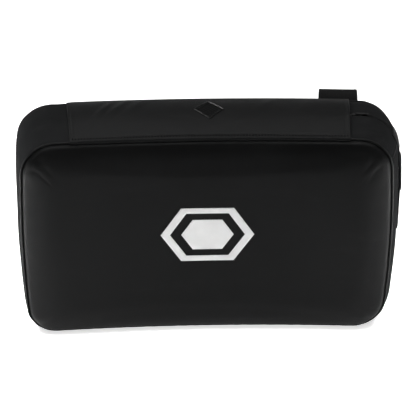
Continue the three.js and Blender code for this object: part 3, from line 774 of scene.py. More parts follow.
def strip_grid(stations, near, far, across):
    """Grids of s and w over a strip between depths near and far, at shares across it."""
    s, near, far = (row[:, None] for row in np.broadcast_arrays(stations, near, far))
    w = near * (1 - across) + far * across
    return np.broadcast_to(s, w.shape), w


def rounded_rows(count, edge=0.02):
    """Shares across a strip, closer together near both edges."""
    inner = np.linspace(edge, 1 - edge, count)
    return np.concatenate([[0, edge * 0.12, edge * 0.45], inner, [1 - edge * 0.45, 1 - edge * 0.12, 1]])


def zip_half_gap(s):
    """Half the width of the slot that the zip lies in."""
    t = np.clip((s - ZIP["slot_closes"]) / (ZIP["slot_closed"] - ZIP["slot_closes"]), 0, 1)
    return ZIP["half_gap"] + (ZIP["closed_gap"] - ZIP["half_gap"]) * t


def build_gusset(name, node, stations, near, far, seams, seed, rows, zip_side=0):
    """A gusset strip, sewn to piping at the seams' depths and turned in along its zip side."""
    s, w = strip_grid(stations, near, far, rounded_rows(rows))
    n = gusset_height(s, w)
    for depth in seams:
        distance = np.abs(w - depth)
        n = n - seam_dip(distance - 1.5) + ruffle(s, distance, seed)
    if zip_side:
        gap = zip_half_gap(s)
        distance = zip_side * (w - ZIP["depth"]) - gap
        n = n + 0.25 * bump(distance - 3, 3) - (1 + 1.6 * (gap < 2)) * np.exp(-distance / 1.6)
    sag = rough_noise(70, seed + 10, s, w, seed * 31.0)
    inside = np.clip(np.minimum(w - 2, DEPTH - 2 - w) / 30, 0, 1)
    underneath = edges(s)[3] < -0.9
    n = n + 0.8 * sag * inside * np.where(underneath, 0.15, 1)
    piece = slab(name, edge_points(s, w, n), edge_points(s, w, n - COVER), GUSSET)
    return assign(piece, "shield", "cover_leather", node)


def build_gussets():
    near, far = SEAM_MARGIN, DEPTH - SEAM_MARGIN
    start, end = ZIP["left"], ZIP["end"]
    around = steps(end + 0.3, PERIMETER + start - 0.3, 2.6)
    along = steps(start, end, 2.2)
    front_edge, back_edge = ZIP["depth"] - zip_half_gap(along), ZIP["depth"] + zip_half_gap(along)
    main = build_gusset("cover_gusset_main", "gusset_main", around, near, far, [0, DEPTH], 1, 40)
    front = build_gusset("cover_gusset_zip_front", "zip_gusset_front", along, near, front_edge, [0],
                         2, 26, zip_side=-1)
    back = build_gusset("cover_gusset_zip_back", "zip_gusset_back", along, back_edge, far, [DEPTH],
                        3, 26, zip_side=1)

    s = steps(start + 4, end - 2, 2)
    rows = [seam_row(s, ZIP["depth"] + side * (zip_half_gap(s) + 3.2), gusset_height, 0.15)
            for side in (-1, 1)]
    w = steps(6, DEPTH - 6, 3)
    rows += [seam_row(s, w, gusset_height, 0.15) for s in (end + 3.6, PERIMETER + start - 3.6)]
    sew("gusset_stitching", rows, "shield", "webbing", THREAD, LEATHER_STITCH)


# ---- Piping and foam ----


def build_piping(name, node, seam):
    s = np.linspace(0, PERIMETER, 760, endpoint=False)
    n = -share(s, PIPING_LIFT) + 0.1 * np.sin(s / 4.1 + 2 * np.sin(s / 37))
    radius = (PIPING_RADIUS + 0.06 * np.sin(s / 2.9)) * MM
    piece = tube(name, edge_points(s, seam, n), radius, PIPING, sides=14, closed=True)
    assign(piece, "shield", "cover_leather", node)


def closed_in(laps):
    """Carries the laps of a foam face in to a short line, level with the last of them."""
    last = laps[-1]
    return laps + [with_depth(flat, last[0, 2]) for _, flat in closing_laps(last[:, :2], 9)]


def domed_face(depth, side, shape):
    """Laps of a foam face from its edge inwards, domed to fill a panel of the cover."""
    laps = []
    for t in np.linspace(0, 1, 12) ** 1.7:
        inset = FOAM["inset"] + (shape["roll"] + 2 - FOAM["inset"]) * t
        rise = (abs(shape["rise"]) - 3.6) * quarter(t)
        laps.append(with_depth(lap_round(inset), depth + side * rise))
    return closed_in(laps)


def flat_face(depth, side):
    """Laps of a flat foam face from its soft edge inwards."""
    laps = []
    for angle in np.linspace(0, math.pi / 2, 5):
        inset = FOAM["inset"] + FOAM["soft"] * (1 - math.cos(angle))
        drop = FOAM["soft"] * (1 - math.sin(angle))
        laps.append(with_depth(lap_round(inset), depth - side * drop))
    return closed_in(laps)


def build_foam(name, node, front, back, look):
    """A foam layer between two faces, each a list of laps from its edge inwards."""
    laps = np.array(front[::-1] + back)
    count, size = laps.shape[:2]
    faces = grid_faces(count, size, wrap=True) + rungs((count - 1) * size, size)
    faces += [tuple(reversed(face)) for face in rungs(0, size)]
    piece = mesh_object(name, place(laps), faces, look)
    assign(piece, "shield", "foam", node)


def build_foams():
    first, second, gap = FOAM["strike_back"], FOAM["core_back"], FOAM["gap"]
    front, back = SEAM_MARGIN, DEPTH - SEAM_MARGIN
    build_foam("strike_foam", "foam_strike_layer", domed_face(front, -1, STRIKE), flat_face(first, 1),
               STRIKE_FOAM)
    build_foam("core_foam", "foam_core_block", flat_face(first + gap, -1), flat_face(second, 1),
               CORE_FOAM)
    build_foam("back_foam", "foam_back_board", flat_face(second + gap, -1), domed_face(back, 1, BACK),
               BACK_FOAM)


# ---- Printed mark ----


def hexagon(scale):
    """A lap of (u, v) round the mark's hexagon, scaled about its middle."""
    width, height, shoulder = MARK["half_width"], MARK["half_height"], MARK["shoulder"]
    corners = np.array([(-width, 0), (-shoulder, height), (shoulder, height),
                        (width, 0), (shoulder, -height), (-shoulder, -height)])
    t = np.linspace(0, 1, 16, endpoint=False)[:, None]
    sides = [start + (end - start) * t for start, end in zip(corners, np.roll(corners, -1, 0))]
    return [MARK["u"], MARK["v"]] + scale * np.concatenate(sides)


def onto(tree, points, lift):
    """Row-frame points of flat ones, moved along the depth onto a panel and lifted off it."""
    made = []
    for u, v in points:
        start, end = (Vector(place([u, v, w])) for w in (-60.0, 20.0))
        direction = (end - start).normalized()
        hit, _, _, _ = tree.ray_cast(start, direction)
        made.append(hit - direction * lift * MM)
    return np.array(made)


def build_mark(panel):
    tree = BVHTree.FromPolygons([vertex.co for vertex in panel.data.vertices],
                                [polygon.vertices for polygon in panel.data.polygons])
    for name, node, scales in (
        ("printed_mark_ring", "strike_mark_ring", np.linspace(1, 0.8, 6)),
        ("printed_mark_core", "strike_mark_core", np.linspace(0.56, 0.02, 14)),
    ):
        laps = [hexagon(scale) for scale in scales]
        tops = [onto(tree, flat, 0.28) for flat in laps]
        bottoms = [onto(tree, flat, 0.02) for flat in laps]
        size = len(laps[0])
        faces = grid_faces(2 * len(laps), size, wrap=True, closed=True)
        if node == "strike_mark_core":
            inner = (len(laps) - 1) * size
            del faces[inner : inner + size]
            faces += [cap(inner, size), cap(inner + size, size, back=True)]
        piece = mesh_object(name, np.concatenate([*tops, *bottoms[::-1]]), faces, PRINT)
        assign(piece, "shield", "mark_white", node)


# ---- Zip ----

TOOTH_PITCH = 1.5
TOOTH_WIRE = 0.34
STEPS_PER_TURN = 12


def zip_floor(s):
    return gusset_height(s, ZIP["depth"]) - 2.0


def build_tape(name, node, side):
    stations = steps(ZIP["left"] + 1, ZIP["right"] + 4, 3)
    near, far = sorted(ZIP["depth"] + side * away for away in (0.9, 12))
    s, w = strip_grid(stations, near, far, rounded_rows(5, 0.08))
    n = zip_floor(s) - 0.4 + 0.05 * np.sin(s / 2.1)
    uvs = np.stack([w, s], -1) * MM
    piece = slab(name, edge_points(s, w, n), edge_points(s, w, n - 0.55), TAPE_CLOTH, uvs)
    assign(piece, "shield", "webbing", node)


def build_coil(name, node, side):
    """One half of the coil: a flattened helix whose turns lie between the other half's."""
    start, end = ZIP["left"] + 9.5, ZIP["right"] - 0.8
    count = int((end - start) / TOOTH_PITCH * STEPS_PER_TURN) + 1
    t = np.arange(count) / STEPS_PER_TURN
    angle = 2 * math.pi * t + (math.pi if side > 0 else 0)
    s = start + t * TOOTH_PITCH
    w = ZIP["depth"] + side * (1.45 - 1.55 * np.cos(angle))
    line = edge_points(s, w, zip_floor(s) + 0.78 + 0.5 * np.sin(angle))
    assign(tube(name, line, TOOTH_WIRE * MM, COIL_PLASTIC, sides=6), "shield", "zip_plastic", node)


def bevelled_cad(node, look, width):
    """Keeps a CAD node, with its edges rounded."""
    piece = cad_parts[node]
    piece.data.materials.clear()
    piece.data.materials.append(look)
    piece.data.shade_flat()
    modifier = piece.modifiers.new("rounded", "BEVEL")
    modifier.width = width * MM
    modifier.segments = 2
    modifier.limit_method = "ANGLE"
    modifier.angle_limit = math.radians(40)


def build_zip():
    for side, word in ((-1, "front"), (1, "back")):
        build_tape(f"zip_{word}_tape_cloth", f"zip_tape_{word}", side)
        build_coil(f"zip_{word}_teeth", f"zip_coil_{word}", side)
    for node in ("zip_slider", "zip_pull", "zip_stop_open", "zip_stop_closed"):
        bevelled_cad(node, METAL, 0.22)


# ---- Flap ----

# Soft folds: arc length and depth of the middle, lean, width and height, in millimetres.
FLAP_FOLDS = [(-166, 84, 0.45, 7, 1.7), (-142, 92, 0.5, 9, 1.9), (-112, 100, 0.5, 11, 1.4),
              (96, 96, 0.5, 12, 0.9), (160, 80, 0.35, 14, 0.8)]
# The topstitching along the sewn front: its depth, its margin at both ends, stitch, gap and holes.
FRONT_ROW = {"depth": 3.6, "margin": 3.0, "stitch": 2.2, "gap": 2.9, "thread": 1.2, "dip": 0.7}
LIP = {"radius": 2.95, "turn": 150.0, "rows": 12}
# The hem's topstitching is this far from the free edges.
HEM_SEAM = FLAP["hem"] - 2.2


def fold_depth(s):
    """Depth of the flap's fold line, which is straight although the body is bent."""
    return (FLAP["fold"] + BEND_RADIUS) / np.cos(s / BEND_RADIUS) - BEND_RADIUS


def flap_underside(s, w):
    """Height of the flap's underside, over its sewn base, its fold and its lifting part."""
    fold = fold_depth(s)
    at_fold = FLAP["rise"] - gusset_height(s, fold)
    base = 0.3 + (at_fold - 0.3) * ease((w - FLAP["front"]) / (fold - FLAP["front"]))
    lifting = at_fold + (FLAP["clearance"] - at_fold) * ease((w - fold) / 46)
    lifting = lifting + (1 - FLAP["clearance"]) * ease((w - 126) / (FLAP["back"] - 126))
    return gusset_height(s, w) + np.where(w < fold, base, lifting)


def from_ends(s):
    return np.minimum(s - FLAP["left"], FLAP["right"] - s)


def corner_cut(s):
    """How far the round back corners draw the flap's back edge in at s."""
    into = np.maximum(FLAP["corner"] - from_ends(s), 0)
    return FLAP["corner"] - np.sqrt(np.maximum(FLAP["corner"] ** 2 - into**2, 0))


def from_free_edge(s, w):
    return np.minimum(from_ends(s), FLAP["back"] - corner_cut(s) - w)


def front_pitch():
    """The stitch pitch that divides the front row evenly, as sew() does."""
    length = FLAP["right"] - FLAP["left"] - 2 * FRONT_ROW["margin"]
    return length / int(length / (FRONT_ROW["stitch"] + FRONT_ROW["gap"]))


def flap_relief(s, w):
    """Hems round the free edges, needle holes, and soft folds off the left of the fold line."""
    free = from_free_edge(s, w)
    hem = 1 - ease((free - FLAP["hem"] + 0.7) / 1.4)
    groove = -0.9 * bump(free - HEM_SEAM, 1.1)
    folds = 0.0
    for s0, w0, lean, width, height in FLAP_FOLDS:
        off = (s - s0) - lean * (w - w0)
        folds = folds + height * bump(off, width) * bump(w - w0, 46)
    drape = 0.8 * rough_noise(55, 21, s, w)
    inside = ease((free - FLAP["hem"]) / 14) * ease((w - 20) / 20)
    stitch_count = (s - FLAP["left"] - FRONT_ROW["margin"]) / front_pitch()
    by_row = bump(w - FRONT_ROW["depth"], 1.5)
    holes = -FRONT_ROW["dip"] * by_row * np.cos(math.pi * stitch_count) ** 4
    return hem + groove + holes + (folds + drape) * inside


def flap_top(s, w):
    return flap_underside(s, w) + FLAP["thickness"] + np.maximum(flap_relief(s, w), -1.2)


def flap_lip(stations):
    """Outer and inner (w, n) grids of the flap's front edge, rolled over the piping."""
    turn = np.radians(np.linspace(LIP["turn"], 8, LIP["rows"]))
    half = FLAP["thickness"] / 2 * quarter(from_ends(stations), 0.02)[:, None]
    half = half * np.sqrt(np.linspace(0.2, 1, LIP["rows"]))
    wave = 0.12 * np.sin(stations / 2.6)[:, None]
    made = []
    for sign in (1, -1):
        radius = LIP["radius"] + wave + sign * half
        made.append((-radius * np.sin(turn), -PIPING_LIFT["top"] + radius * np.cos(turn)))
    return made


def build_flap():
    ends = np.array([0, 0.3, 1.0, 2.2, 4, 6, 8, 10, 12, 15])
    run = steps(FLAP["left"] + 16.3, FLAP["right"] - 16.3, 1.28)
    stations = np.concatenate([FLAP["left"] + ends, run, FLAP["right"] - ends[::-1]])
    across = np.concatenate([np.linspace(0, 0.12, 12), np.linspace(0.12, 0.94, 44)[1:],
                             np.linspace(0.94, 1, 10)[1:]])
    s, w = strip_grid(stations, FLAP["front"], FLAP["back"] - corner_cut(stations), across)
    top, low = flap_top(s, w), flap_underside(s, w)
    half = (top - low) / 2 * quarter(from_free_edge(s, w), 0.02)
    skins = []
    for sign, (lip_w, lip_n) in zip((1, -1), flap_lip(stations)):
        lip = edge_points(stations[:, None], lip_w, lip_n)
        skins.append(np.concatenate([lip, edge_points(s, w, (top + low) / 2 + sign * half)], 1))
    piece = slab("cover_flap_leather", *skins, FLAP_LEATHER)
    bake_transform(piece)
    assign(piece, None, "flap_leather", "flap_base", "cover_flap")


def sew_flap():
    left, right, margin = FLAP["left"], FLAP["right"], FRONT_ROW["margin"]
    front = seam_row(steps(left + margin, right - margin, 1.5), FRONT_ROW["depth"], flap_top, 0.3)
    size = (FRONT_ROW["stitch"], FRONT_ROW["gap"], FRONT_ROW["thread"])
    # The front row's thread carries painted shade for its needle holes as well as its own colour.
    sew("flap_front_stitching", [front], "shield", "flap_leather", HOLE_SHADE_THREAD, size)
    back = FLAP["back"] - HEM_SEAM
    rows = [seam_row(steps(left + 14, right - 14, 1.5), back, flap_top, 0.1)]
    for s in (left + HEM_SEAM, right - HEM_SEAM):
        rows.append(seam_row(s, steps(fold_depth(s) + 4, back - 9, 1.5), flap_top, 0.1))
    sew("flap_hem_stitching", rows, "flap", "flap_leather", THREAD, LEATHER_STITCH)


def build_closure(name, node, look, body, surface, gap, up):
    """Hook or loop tape, a gap off the surface(s, w) that it is sewn to. Its pile looks up or down."""
    stations = steps(CLOSURE["left"], CLOSURE["right"], 3)
    s, w = strip_grid(stations, CLOSURE["front"], CLOSURE["back"], rounded_rows(12, 0.03))
    near = np.minimum(np.minimum(s - CLOSURE["left"], CLOSURE["right"] - s),
                      np.minimum(w - CLOSURE["front"], CLOSURE["back"] - w))
    edge = np.clip(near / 1.5, 0, 1)
    thick = (CLOSURE["thickness"] - 0.15) * (0.45 + 0.55 * np.sqrt(edge))
    thick = thick + 0.12 * rough_noise(2.2, 31, s, w) * edge
    sewn = surface(s, w) + up * gap
    upper, lower = (sewn + thick, sewn) if up > 0 else (sewn, sewn - thick)
    piece = slab(name, edge_points(s, w, upper), edge_points(s, w, lower), look)
    assign(piece, body, "hook_and_loop", node)


def lozenge_point(a, b):
    """Flap coordinates of a place on the lozenge; a and b run from -1 to 1 along its two sides."""
    s = LOZENGE["u"] + LOZENGE["half_width"] * (a - b) / 2
    w = LOZENGE["w"] + LOZENGE["half_depth"] * (a + b) / 2
    return s, w


def lozenge_skin(a, b, lift):
    """Row-frame points of places on the lozenge, lifted off the flap."""
    s, w = lozenge_point(a, b)
    return edge_points(s, w, flap_top(s, w) + lift)


def lozenge_field(a, b):
    """Height of the ribbed field, low inside its border."""
    edge = 1 - np.maximum(np.abs(a), np.abs(b))
    ribs = 0.45 * np.abs(np.sin(a * 11)) * np.abs(np.sin(b * 11)) * ease((edge - 0.1) / 0.05)
    return 0.25 + 1.6 * ribs


def build_lozenge():
    inner = 1 - LOZENGE["border"] * 0.6
    run = np.linspace(-inner, inner, 61)
    a, b = np.meshgrid(run, run, indexing="ij")
    field = slab("flap_lozenge_field", lozenge_skin(a, b, lozenge_field(a, b)),
                 lozenge_skin(a, b, -0.1), DARK_LEATHER)
    corners = np.array([(-1, -1), (1, -1), (1, 1), (-1, 1)], float)
    t = np.linspace(0, 1, 30)[:-1, None]
    around = np.concatenate([p + (q - p) * t for p, q in zip(corners, np.roll(corners, -1, 0))])
    section = np.linspace(0, 1, 9)
    a, b = around.T[:, :, None] * (1 - LOZENGE["border"] * section)
    lift = 0.2 + 1.6 * np.sqrt(np.clip(1 - (2 * np.sqrt(section) - 1) ** 2, 0, 1))
    points = np.concatenate([lozenge_skin(a, b, lift), lozenge_skin(a, b, 0.05)[:, ::-1]], 1)
    faces = grid_faces(len(around), 2 * len(section), wrap=True, closed=True)
    border = mesh_object("flap_lozenge_border", points, faces, PATCH_EDGE)
    for piece in (field, border):
        assign(piece, "flap", "flap_leather", "lozenge_patch")
    run = np.linspace(-0.8, 0.8, 40)
    rows = []
    for fixed in (-0.82, 0.82):
        rows += [seam_row(*lozenge_point(run, fixed), flap_top, 0.75),
                 seam_row(*lozenge_point(fixed, run), flap_top, 0.75)]
    sew("lozenge_stitching", rows, "flap", "flap_leather", THREAD, LOZENGE_STITCH)


# ---- Webbing on the back ----


def walk(start, heading, legs, step=2.5):
    """Points (y, z, heading) of a path: (length, 0) runs straight, (radius, turn) is an arc."""
    y, z = start
    points = [(y, z, heading)]
    for size, turn in legs:
        length = abs(math.radians(turn)) * size if turn else size
        parts = max(math.ceil(length / step), 1)
        chord = 2 * size * math.sin(length / size / parts / 2) if turn else size / parts
        for _ in range(parts):
            middle = math.radians(heading + turn / parts / 2)
            y += chord * math.cos(middle)
            z += chord * math.sin(middle)
            heading += turn / parts
            points.append((y, z, heading))
    return np.array(points)


def strap_section(width, thickness):
    """Places across a strap and its half thickness there: flat, with a bead along each edge."""
    x = np.concatenate([[-1, -0.992, -0.97], np.linspace(-0.93, 0.93, 25), [0.97, 0.992, 1]])
    edge = (1 - np.abs(x)) * width / 2
    half = thickness / 2 * quarter(edge / (thickness / 2), 0.02)
    return x * width / 2, half + 0.12 * bump(edge - 2.2, 1.3)


def strap_piece(name, frame_on, path, width, thickness, ruck, seed):
    """A webbing strap along a path in the y-z plane of a frame. ruck is how far it wanders."""
    x, half = strap_section(width, thickness)
    y, z, heading = path.T[:, :, None]
    out = np.radians(heading + 90)
    along = run_along(path[:, :2])[:, None]
    from_end = np.minimum(along, along[-1] - along)
    ripple = np.cos(np.linspace(0, 4 * math.pi, len(along)))[:, None]
    cup = 0.6 * ripple * ((2 * x / width) ** 2 - 0.3)
    offset = ruck * (rough_noise(24, seed, along, seed * 9.0) + cup) * ease(from_end / 12)
    skins = []
    for sign in (1, -1):
        off = offset + sign * half * quarter(from_end, 0.05)
        points = np.broadcast_arrays(x, y + off * np.cos(out), z + off * np.sin(out))
        skins.append(frame_on(np.stack(points, -1)))
    uvs = np.stack(np.broadcast_arrays(x, along), -1) * MM
    return slab(name, *skins, WEBBING, uvs)


def fasten(piece, frame_on, path, width, body, start, end, *nodes):
    """Bakes a strap's transform and hides the nodes it replaces. body is not used, and start and end only
    go through frame_on.
    """
    tuple(frame_on(start))
    tuple(frame_on(end))
    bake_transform(piece)
    assign(piece, None, "webbing", *nodes)


def raised_row(frame_on, points, out):
    """A sewing line at points of a frame, with its normals along out."""
    line = frame_on(points)
    return line, (frame_on(points + out) - line) / MM


def box_stitch(frame_on, y, low, high, width, cross=True):
    """Rows of a sewn box, with a cross in it or not, in the x-z plane of a frame, facing +y."""
    half = width / 2 - 4
    a, b, c, d = np.array([(-half, y, low), (half, y, low), (half, y, high), (-half, y, high)])
    lines = [(a, b), (b, c), (c, d), (d, a)]
    if cross:
        lines += [(a, c), (b, d)]
    t = np.linspace(0.03, 0.97, 30)[:, None]
    out = np.array([0, 1, 0])
    return [raised_row(frame_on, start + (end - start) * t, out) for start, end in lines]


def build_patch(name, node, frame_on, y, look, body, facing):
    """A flat hook or loop patch with round corners, sewn on at y, with a rough face."""
    run = np.linspace(-1, 1, 33)
    a, b = np.meshgrid(run, run, indexing="ij")
    square = np.maximum(np.abs(a), np.abs(b))
    reach = square / np.maximum((np.abs(a) ** 10 + np.abs(b) ** 10) ** 0.1, 1e-9)
    low, high = PATCH["low"], PATCH["high"]
    x = a * PATCH["width"] / 2 * reach
    z = (low + high) / 2 + b * (high - low) / 2 * reach
    rise = (PATCH["thickness"] - 0.1) * np.clip(0.4 + 6 * (1 - square), 0, 1)
    rise = rise + 0.1 * rough_noise(2, 41, x, z) * (square < 1)
    face = frame_on(np.stack([x, y + facing * rise, z], -1))
    back = frame_on(np.stack([x, np.full_like(x, y), z], -1))
    assign(slab(name, face, back, look), body, "hook_and_loop", node)


def build_pad(frame_on):
    """The forearm pad: a small stuffed cushion, blown up by simulation."""
    bpy.ops.mesh.primitive_cube_add(size=1)
    piece = bpy.context.active_object
    piece.name = piece.data.name = "forearm_cushion"
    size = np.array([PAD["width"] - 5, PAD["thickness"] * 0.62, PAD["high"] - PAD["low"] - 5])
    centre = np.array([0, PAD["y"] + PAD["thickness"] / 2, (PAD["low"] + PAD["high"]) / 2])
    box = corners_of(piece.data) * size + centre
    piece.data.vertices.foreach_set("co", frame_on(box).ravel())
    bevel = piece.modifiers.new("round", "BEVEL")
    bevel.width = 1.9 * MM
    bevel.segments = 3
    remesh = piece.modifiers.new("remesh", "REMESH")
    remesh.mode = "VOXEL"
    remesh.voxel_size = 2.2 * MM
    baked(piece)
    count = len(piece.data.vertices)
    blown(piece, np.zeros(count), 4.0, 1.3, frames=14, stiffness=8)
    drift = sum((vertex.co for vertex in piece.data.vertices), Vector()) / count
    piece.data.transform(Matrix.Translation(Vector(frame_on(centre)) - drift))
    smooth = piece.modifiers.new("smooth", "SUBSURF")
    smooth.levels = 1
    baked(piece)
    piece.data.shade_smooth()
    piece.data.materials.clear()
    piece.data.materials.append(GUSSET)
    assign(piece, "strap_lower", "cover_leather", "forearm_pad")


def strap_rows(frame_on, path):
    """Rows along both edges of the strap's band, and a box over its patch."""
    y, z, heading = path.T
    out = np.radians(heading + 90)
    away = np.stack([np.zeros(len(out)), np.cos(out), np.sin(out)], -1)
    middle = np.stack([np.zeros(len(out)), y, z], -1) + 1.25 * away
    side = np.array([STRAP["width"] / 2 - 3.5, 0, 0])
    rows = [raised_row(frame_on, middle + sign * side, away) for sign in (-1, 1)]
    return rows + box_stitch(frame_on, STRAP["reach"] + 1.15, PATCH["low"] + 2, PATCH["high"] - 2,
                             STRAP["width"], cross=False)


def build_strap():
    frame_on = on_back(STRAP["u"])
    line, arch, low_arch, anchor = (STRAP[key] for key in ("line", "arch", "low_arch", "anchor"))
    width, thickness = STRAP["width"], STRAP["thickness"]
    top, bottom = STRAP["top"], STRAP["bottom"]
    out = STRAP["reach"] - line - 2 * arch
    low_out = STRAP["low_reach"] - line - arch - low_arch
    upper = walk((line, top), 90,
                 [(anchor, 0), (arch, -90), (out, 0), (arch, -90), (STRAP["drop"], 0)])
    lower = walk((line, bottom), -90,
                 [(anchor, 0), (low_arch, 90), (low_out, 0), (arch, 90), (STRAP["climb"], 0)])
    for half, end, path, y, z, seed in (
        ("upper", "top", upper, line + arch, STRAP["hinge"], 1),
        ("lower", "bottom", lower, line + low_arch, STRAP["low_hinge"], 2),
    ):
        piece = strap_piece(f"forearm_strap_{half}", frame_on, path, width, thickness, 0.25, seed)
        fasten(piece, frame_on, path, width, f"strap_{half}", (0, y - 5, z), (0, y + 5, z),
               f"strap_anchor_{end}", f"strap_{half}_band")
    anchors = box_stitch(frame_on, line + 1.1, top + 5, top + 32, width)
    anchors += box_stitch(frame_on, line + 1.1, bottom - 30, bottom - 3, width)
    sew("strap_anchor_stitching", anchors, "shield", "webbing", THREAD, WEBBING_STITCH)
    moving = upper[upper[:, 0] > line + arch + 6]
    sew("strap_upper_stitching", strap_rows(frame_on, moving), "strap_upper", "webbing", THREAD,
        WEBBING_STITCH)
    build_patch("strap_hook_tape", "strap_hook_patch", frame_on, PATCH["hook"], HOOKS,
                "strap_upper", -1)
    build_patch("strap_loop_tape", "strap_loop_patch", frame_on, PATCH["loop"], LOOPS,
                "strap_lower", 1)
    build_pad(frame_on)


def build_grip():
    frame_on = on_back(GRIP["u"])
    line, mid, width = GRIP["line"], GRIP["mid"], GRIP["width"]
    anchor, foot = (GRIP["anchor"], 0), (GRIP["turn"], 90)
    rise, bend = (GRIP["rise"], 0), (GRIP["bend"], -90)
    legs = [anchor, foot, rise, bend, (GRIP["span"], 0), bend, rise, foot, anchor]
    path = walk((line, mid + GRIP["half"]), -90, legs, 2.0)
    piece = strap_piece("hand_grip_webbing", frame_on, path, width, GRIP["thickness"], 0.05, 4)
    fasten(piece, frame_on, path, width, "grip", (0, 7.5, mid), (0, 16.5, mid),
           "grip_anchor_top", "grip_anchor_bottom", "grip_webbing")
    near, far = GRIP["half"] - 30, GRIP["half"] - 3
    anchors = box_stitch(frame_on, line + 1.5, mid + near, mid + far, 16, cross=False)
    anchors += box_stitch(frame_on, line + 1.5, mid - far, mid - near, 16, cross=False)
    sew("grip_anchor_stitching", anchors, "shield", "webbing", THREAD, GRIP_STITCH)
    build_sleeve(frame_on)


def build_sleeve(frame_on):
    """A padded sleeve round the grip, with drawn-in ends and a seam on the side that faces the shield."""
    seam_angle, sides, length = math.pi * 1.5, 48, GRIP["sleeve"]
    ends = np.array([0, 0.3, 1.2, 3])
    heights = np.concatenate([ends, np.linspace(5, length - 5, 52), length - ends[::-1]])
    around_it = np.arange(sides) * 2 * math.pi / sides
    z, angle = np.meshgrid(heights - length / 2, around_it, indexing="ij")
    from_end = length / 2 - np.abs(z)
    radius = GRIP["radius"] * (0.9 + 0.1 * quarter(from_end / 6)) - 1.1 * bump(from_end - 8, 1.4) - 0.3
    radius = radius + 0.25 * rough_noise(12, 51, 14 * np.cos(angle), 14 * np.sin(angle), z)
    radius = radius - 0.8 * bump((angle - seam_angle) * 14, 1.1)

    def laps(across, deep):
        points = [across * np.cos(angle), GRIP["stand"] + deep * np.sin(angle), GRIP["mid"] + z]
        return np.stack(points, -1)

    points = np.concatenate([laps(radius, radius), laps(6.5, 1.9)[::-1]])
    faces = grid_faces(len(points), sides, wrap=True, closed=True)
    piece = mesh_object("hand_grip_sleeve", frame_on(points), faces, GUSSET)
    assign(piece, "grip", "cover_leather", "grip_sleeve")
    z = np.linspace(-44, 44, 60)
    rows = []
    for turn in (seam_angle - 0.16, seam_angle + 0.16):
        out = np.array([math.cos(turn), math.sin(turn), 0])
        line = [0, GRIP["stand"], GRIP["mid"]] + 13.75 * out + z[:, None] * [0, 0, 1]
        rows.append(raised_row(frame_on, line, out))
    sew("grip_sleeve_stitching", rows, "grip", "cover_leather", THREAD, SLEEVE_STITCH)


# ---- Carry handle on the right end ----


def handle_lift(s):
    """How far the handle's band stands off the gusset: most at its middle, pressed on at its tabs."""
    near = np.minimum(s - HANDLE["top"], HANDLE["bottom"] - s)
    return HANDLE["lift"] - 1.2 * (1 - ease((near + 6) / 60))


def handle_band(name, start, end, lift, thickness):
    """A webbing band over the right gusset from arc length start to end, lift(s) off it."""
    x, half = strap_section(HANDLE["width"], thickness)
    s, w = np.broadcast_arrays(steps(start, end, 1.6)[:, None], DEPTH / 2 + x)
    half = half * quarter(np.minimum(s - start, end - s), 0.05)
    middle = gusset_height(s, w) + lift(s) + thickness / 2
    uvs = np.stack([w, s], -1) * MM
    return slab(name, edge_points(s, w, middle + half), edge_points(s, w, middle - half), WEBBING, uvs)


def band_rows(start, end, lift):
    """Sewing rows of a box over the handle's band."""
    half = HANDLE["width"] / 2 - 3.5
    near, far = DEPTH / 2 - half, DEPTH / 2 + half
    rows = [seam_row(steps(start, end, 2), w, gusset_height, lift) for w in (near, far)]
    return rows + [seam_row(s, np.linspace(near, far, 20), gusset_height, lift) for s in (start, end)]


def build_end_handle():
    """The tabs are sewn to the gusset; the band runs from one to the other and on the real shield can be
    drawn out. Its two halves meet under the wrap, which covers the join."""
    top, bottom, tab, middle = HANDLE["top"], HANDLE["bottom"], HANDLE["tab"], HANDLE["middle"]
    for name, start, end, hinge, reach, nodes in (
        ("carry_handle_upper", top - tab, middle - 0.2, top - 2, top + 34,
         ("end_handle_tab_top", "end_handle_webbing")),
        ("carry_handle_lower", middle + 0.2, bottom + tab, bottom + 2, bottom - 34,
         ("end_handle_tab_bottom",)),
    ):
        piece = handle_band(name, start, end, handle_lift, 1.7)
        x, y, z = edge_points(hinge, DEPTH / 2, 8.0)
        edge_points(reach, DEPTH / 2, 8.0)[2]
        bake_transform(piece)
        assign(piece, None, "webbing", *nodes)
    start, end = HANDLE["wrap"]
    wrap = handle_band("carry_handle_wrap", start, end, lambda s: HANDLE["lift"] + 1.75, 1.5)
    assign(wrap, "end_handle", "webbing", "end_handle_wrap")
    tabs = band_rows(top - tab + 3, top - 4, 2.6) + band_rows(bottom + 4, bottom + tab - 3, 2.6)
    sew("carry_handle_tab_stitching", tabs, "shield", "webbing", THREAD, WEBBING_STITCH)
    sew("carry_handle_wrap_stitching", band_rows(start + 3, end - 3, 4.7), "end_handle", "webbing",
        THREAD, WEBBING_STITCH)


# ---- Stage, light and camera ----

MIDDLE = (0, 0, HEIGHT / 2 * MM)
# The studio's surround: its tone at and below the horizon, and overhead.
SURROUND = {"horizon": 0.25, "overhead": 0.05}
# Area lights: name, place, target, width and height in metres, power in watts, spread in degrees.
LIGHTS = [
    ("top_softbox", (0, 0.9, 2.8), MIDDLE, (3.0, 1.8), 64, 180),
    ("left_floor_light", (-0.95, -0.1, 1.3), (-0.95, -0.1, 0), (0.5, 1.0), 24, 60),
    ("right_floor_light", (0.95, -0.1, 1.3), (0.95, -0.1, 0), (0.5, 1.0), 17, 60),
    ("front_floor_light", (0, -0.28, 1.0), (0, -0.28, 0), (0.7, 0.2), 0.9, 45),
    ("back_left_key", (-1.4, 0.95, 1.77), MIDDLE, (0.4, 0.4), 17, 180),
]
CAMERA = {"elevation": 29.385, "azimuth": -1.988, "roll": 0.133, "distance": 3.0483,
          "lens": 154.9, "shift": (0.0073, 0.0138)}


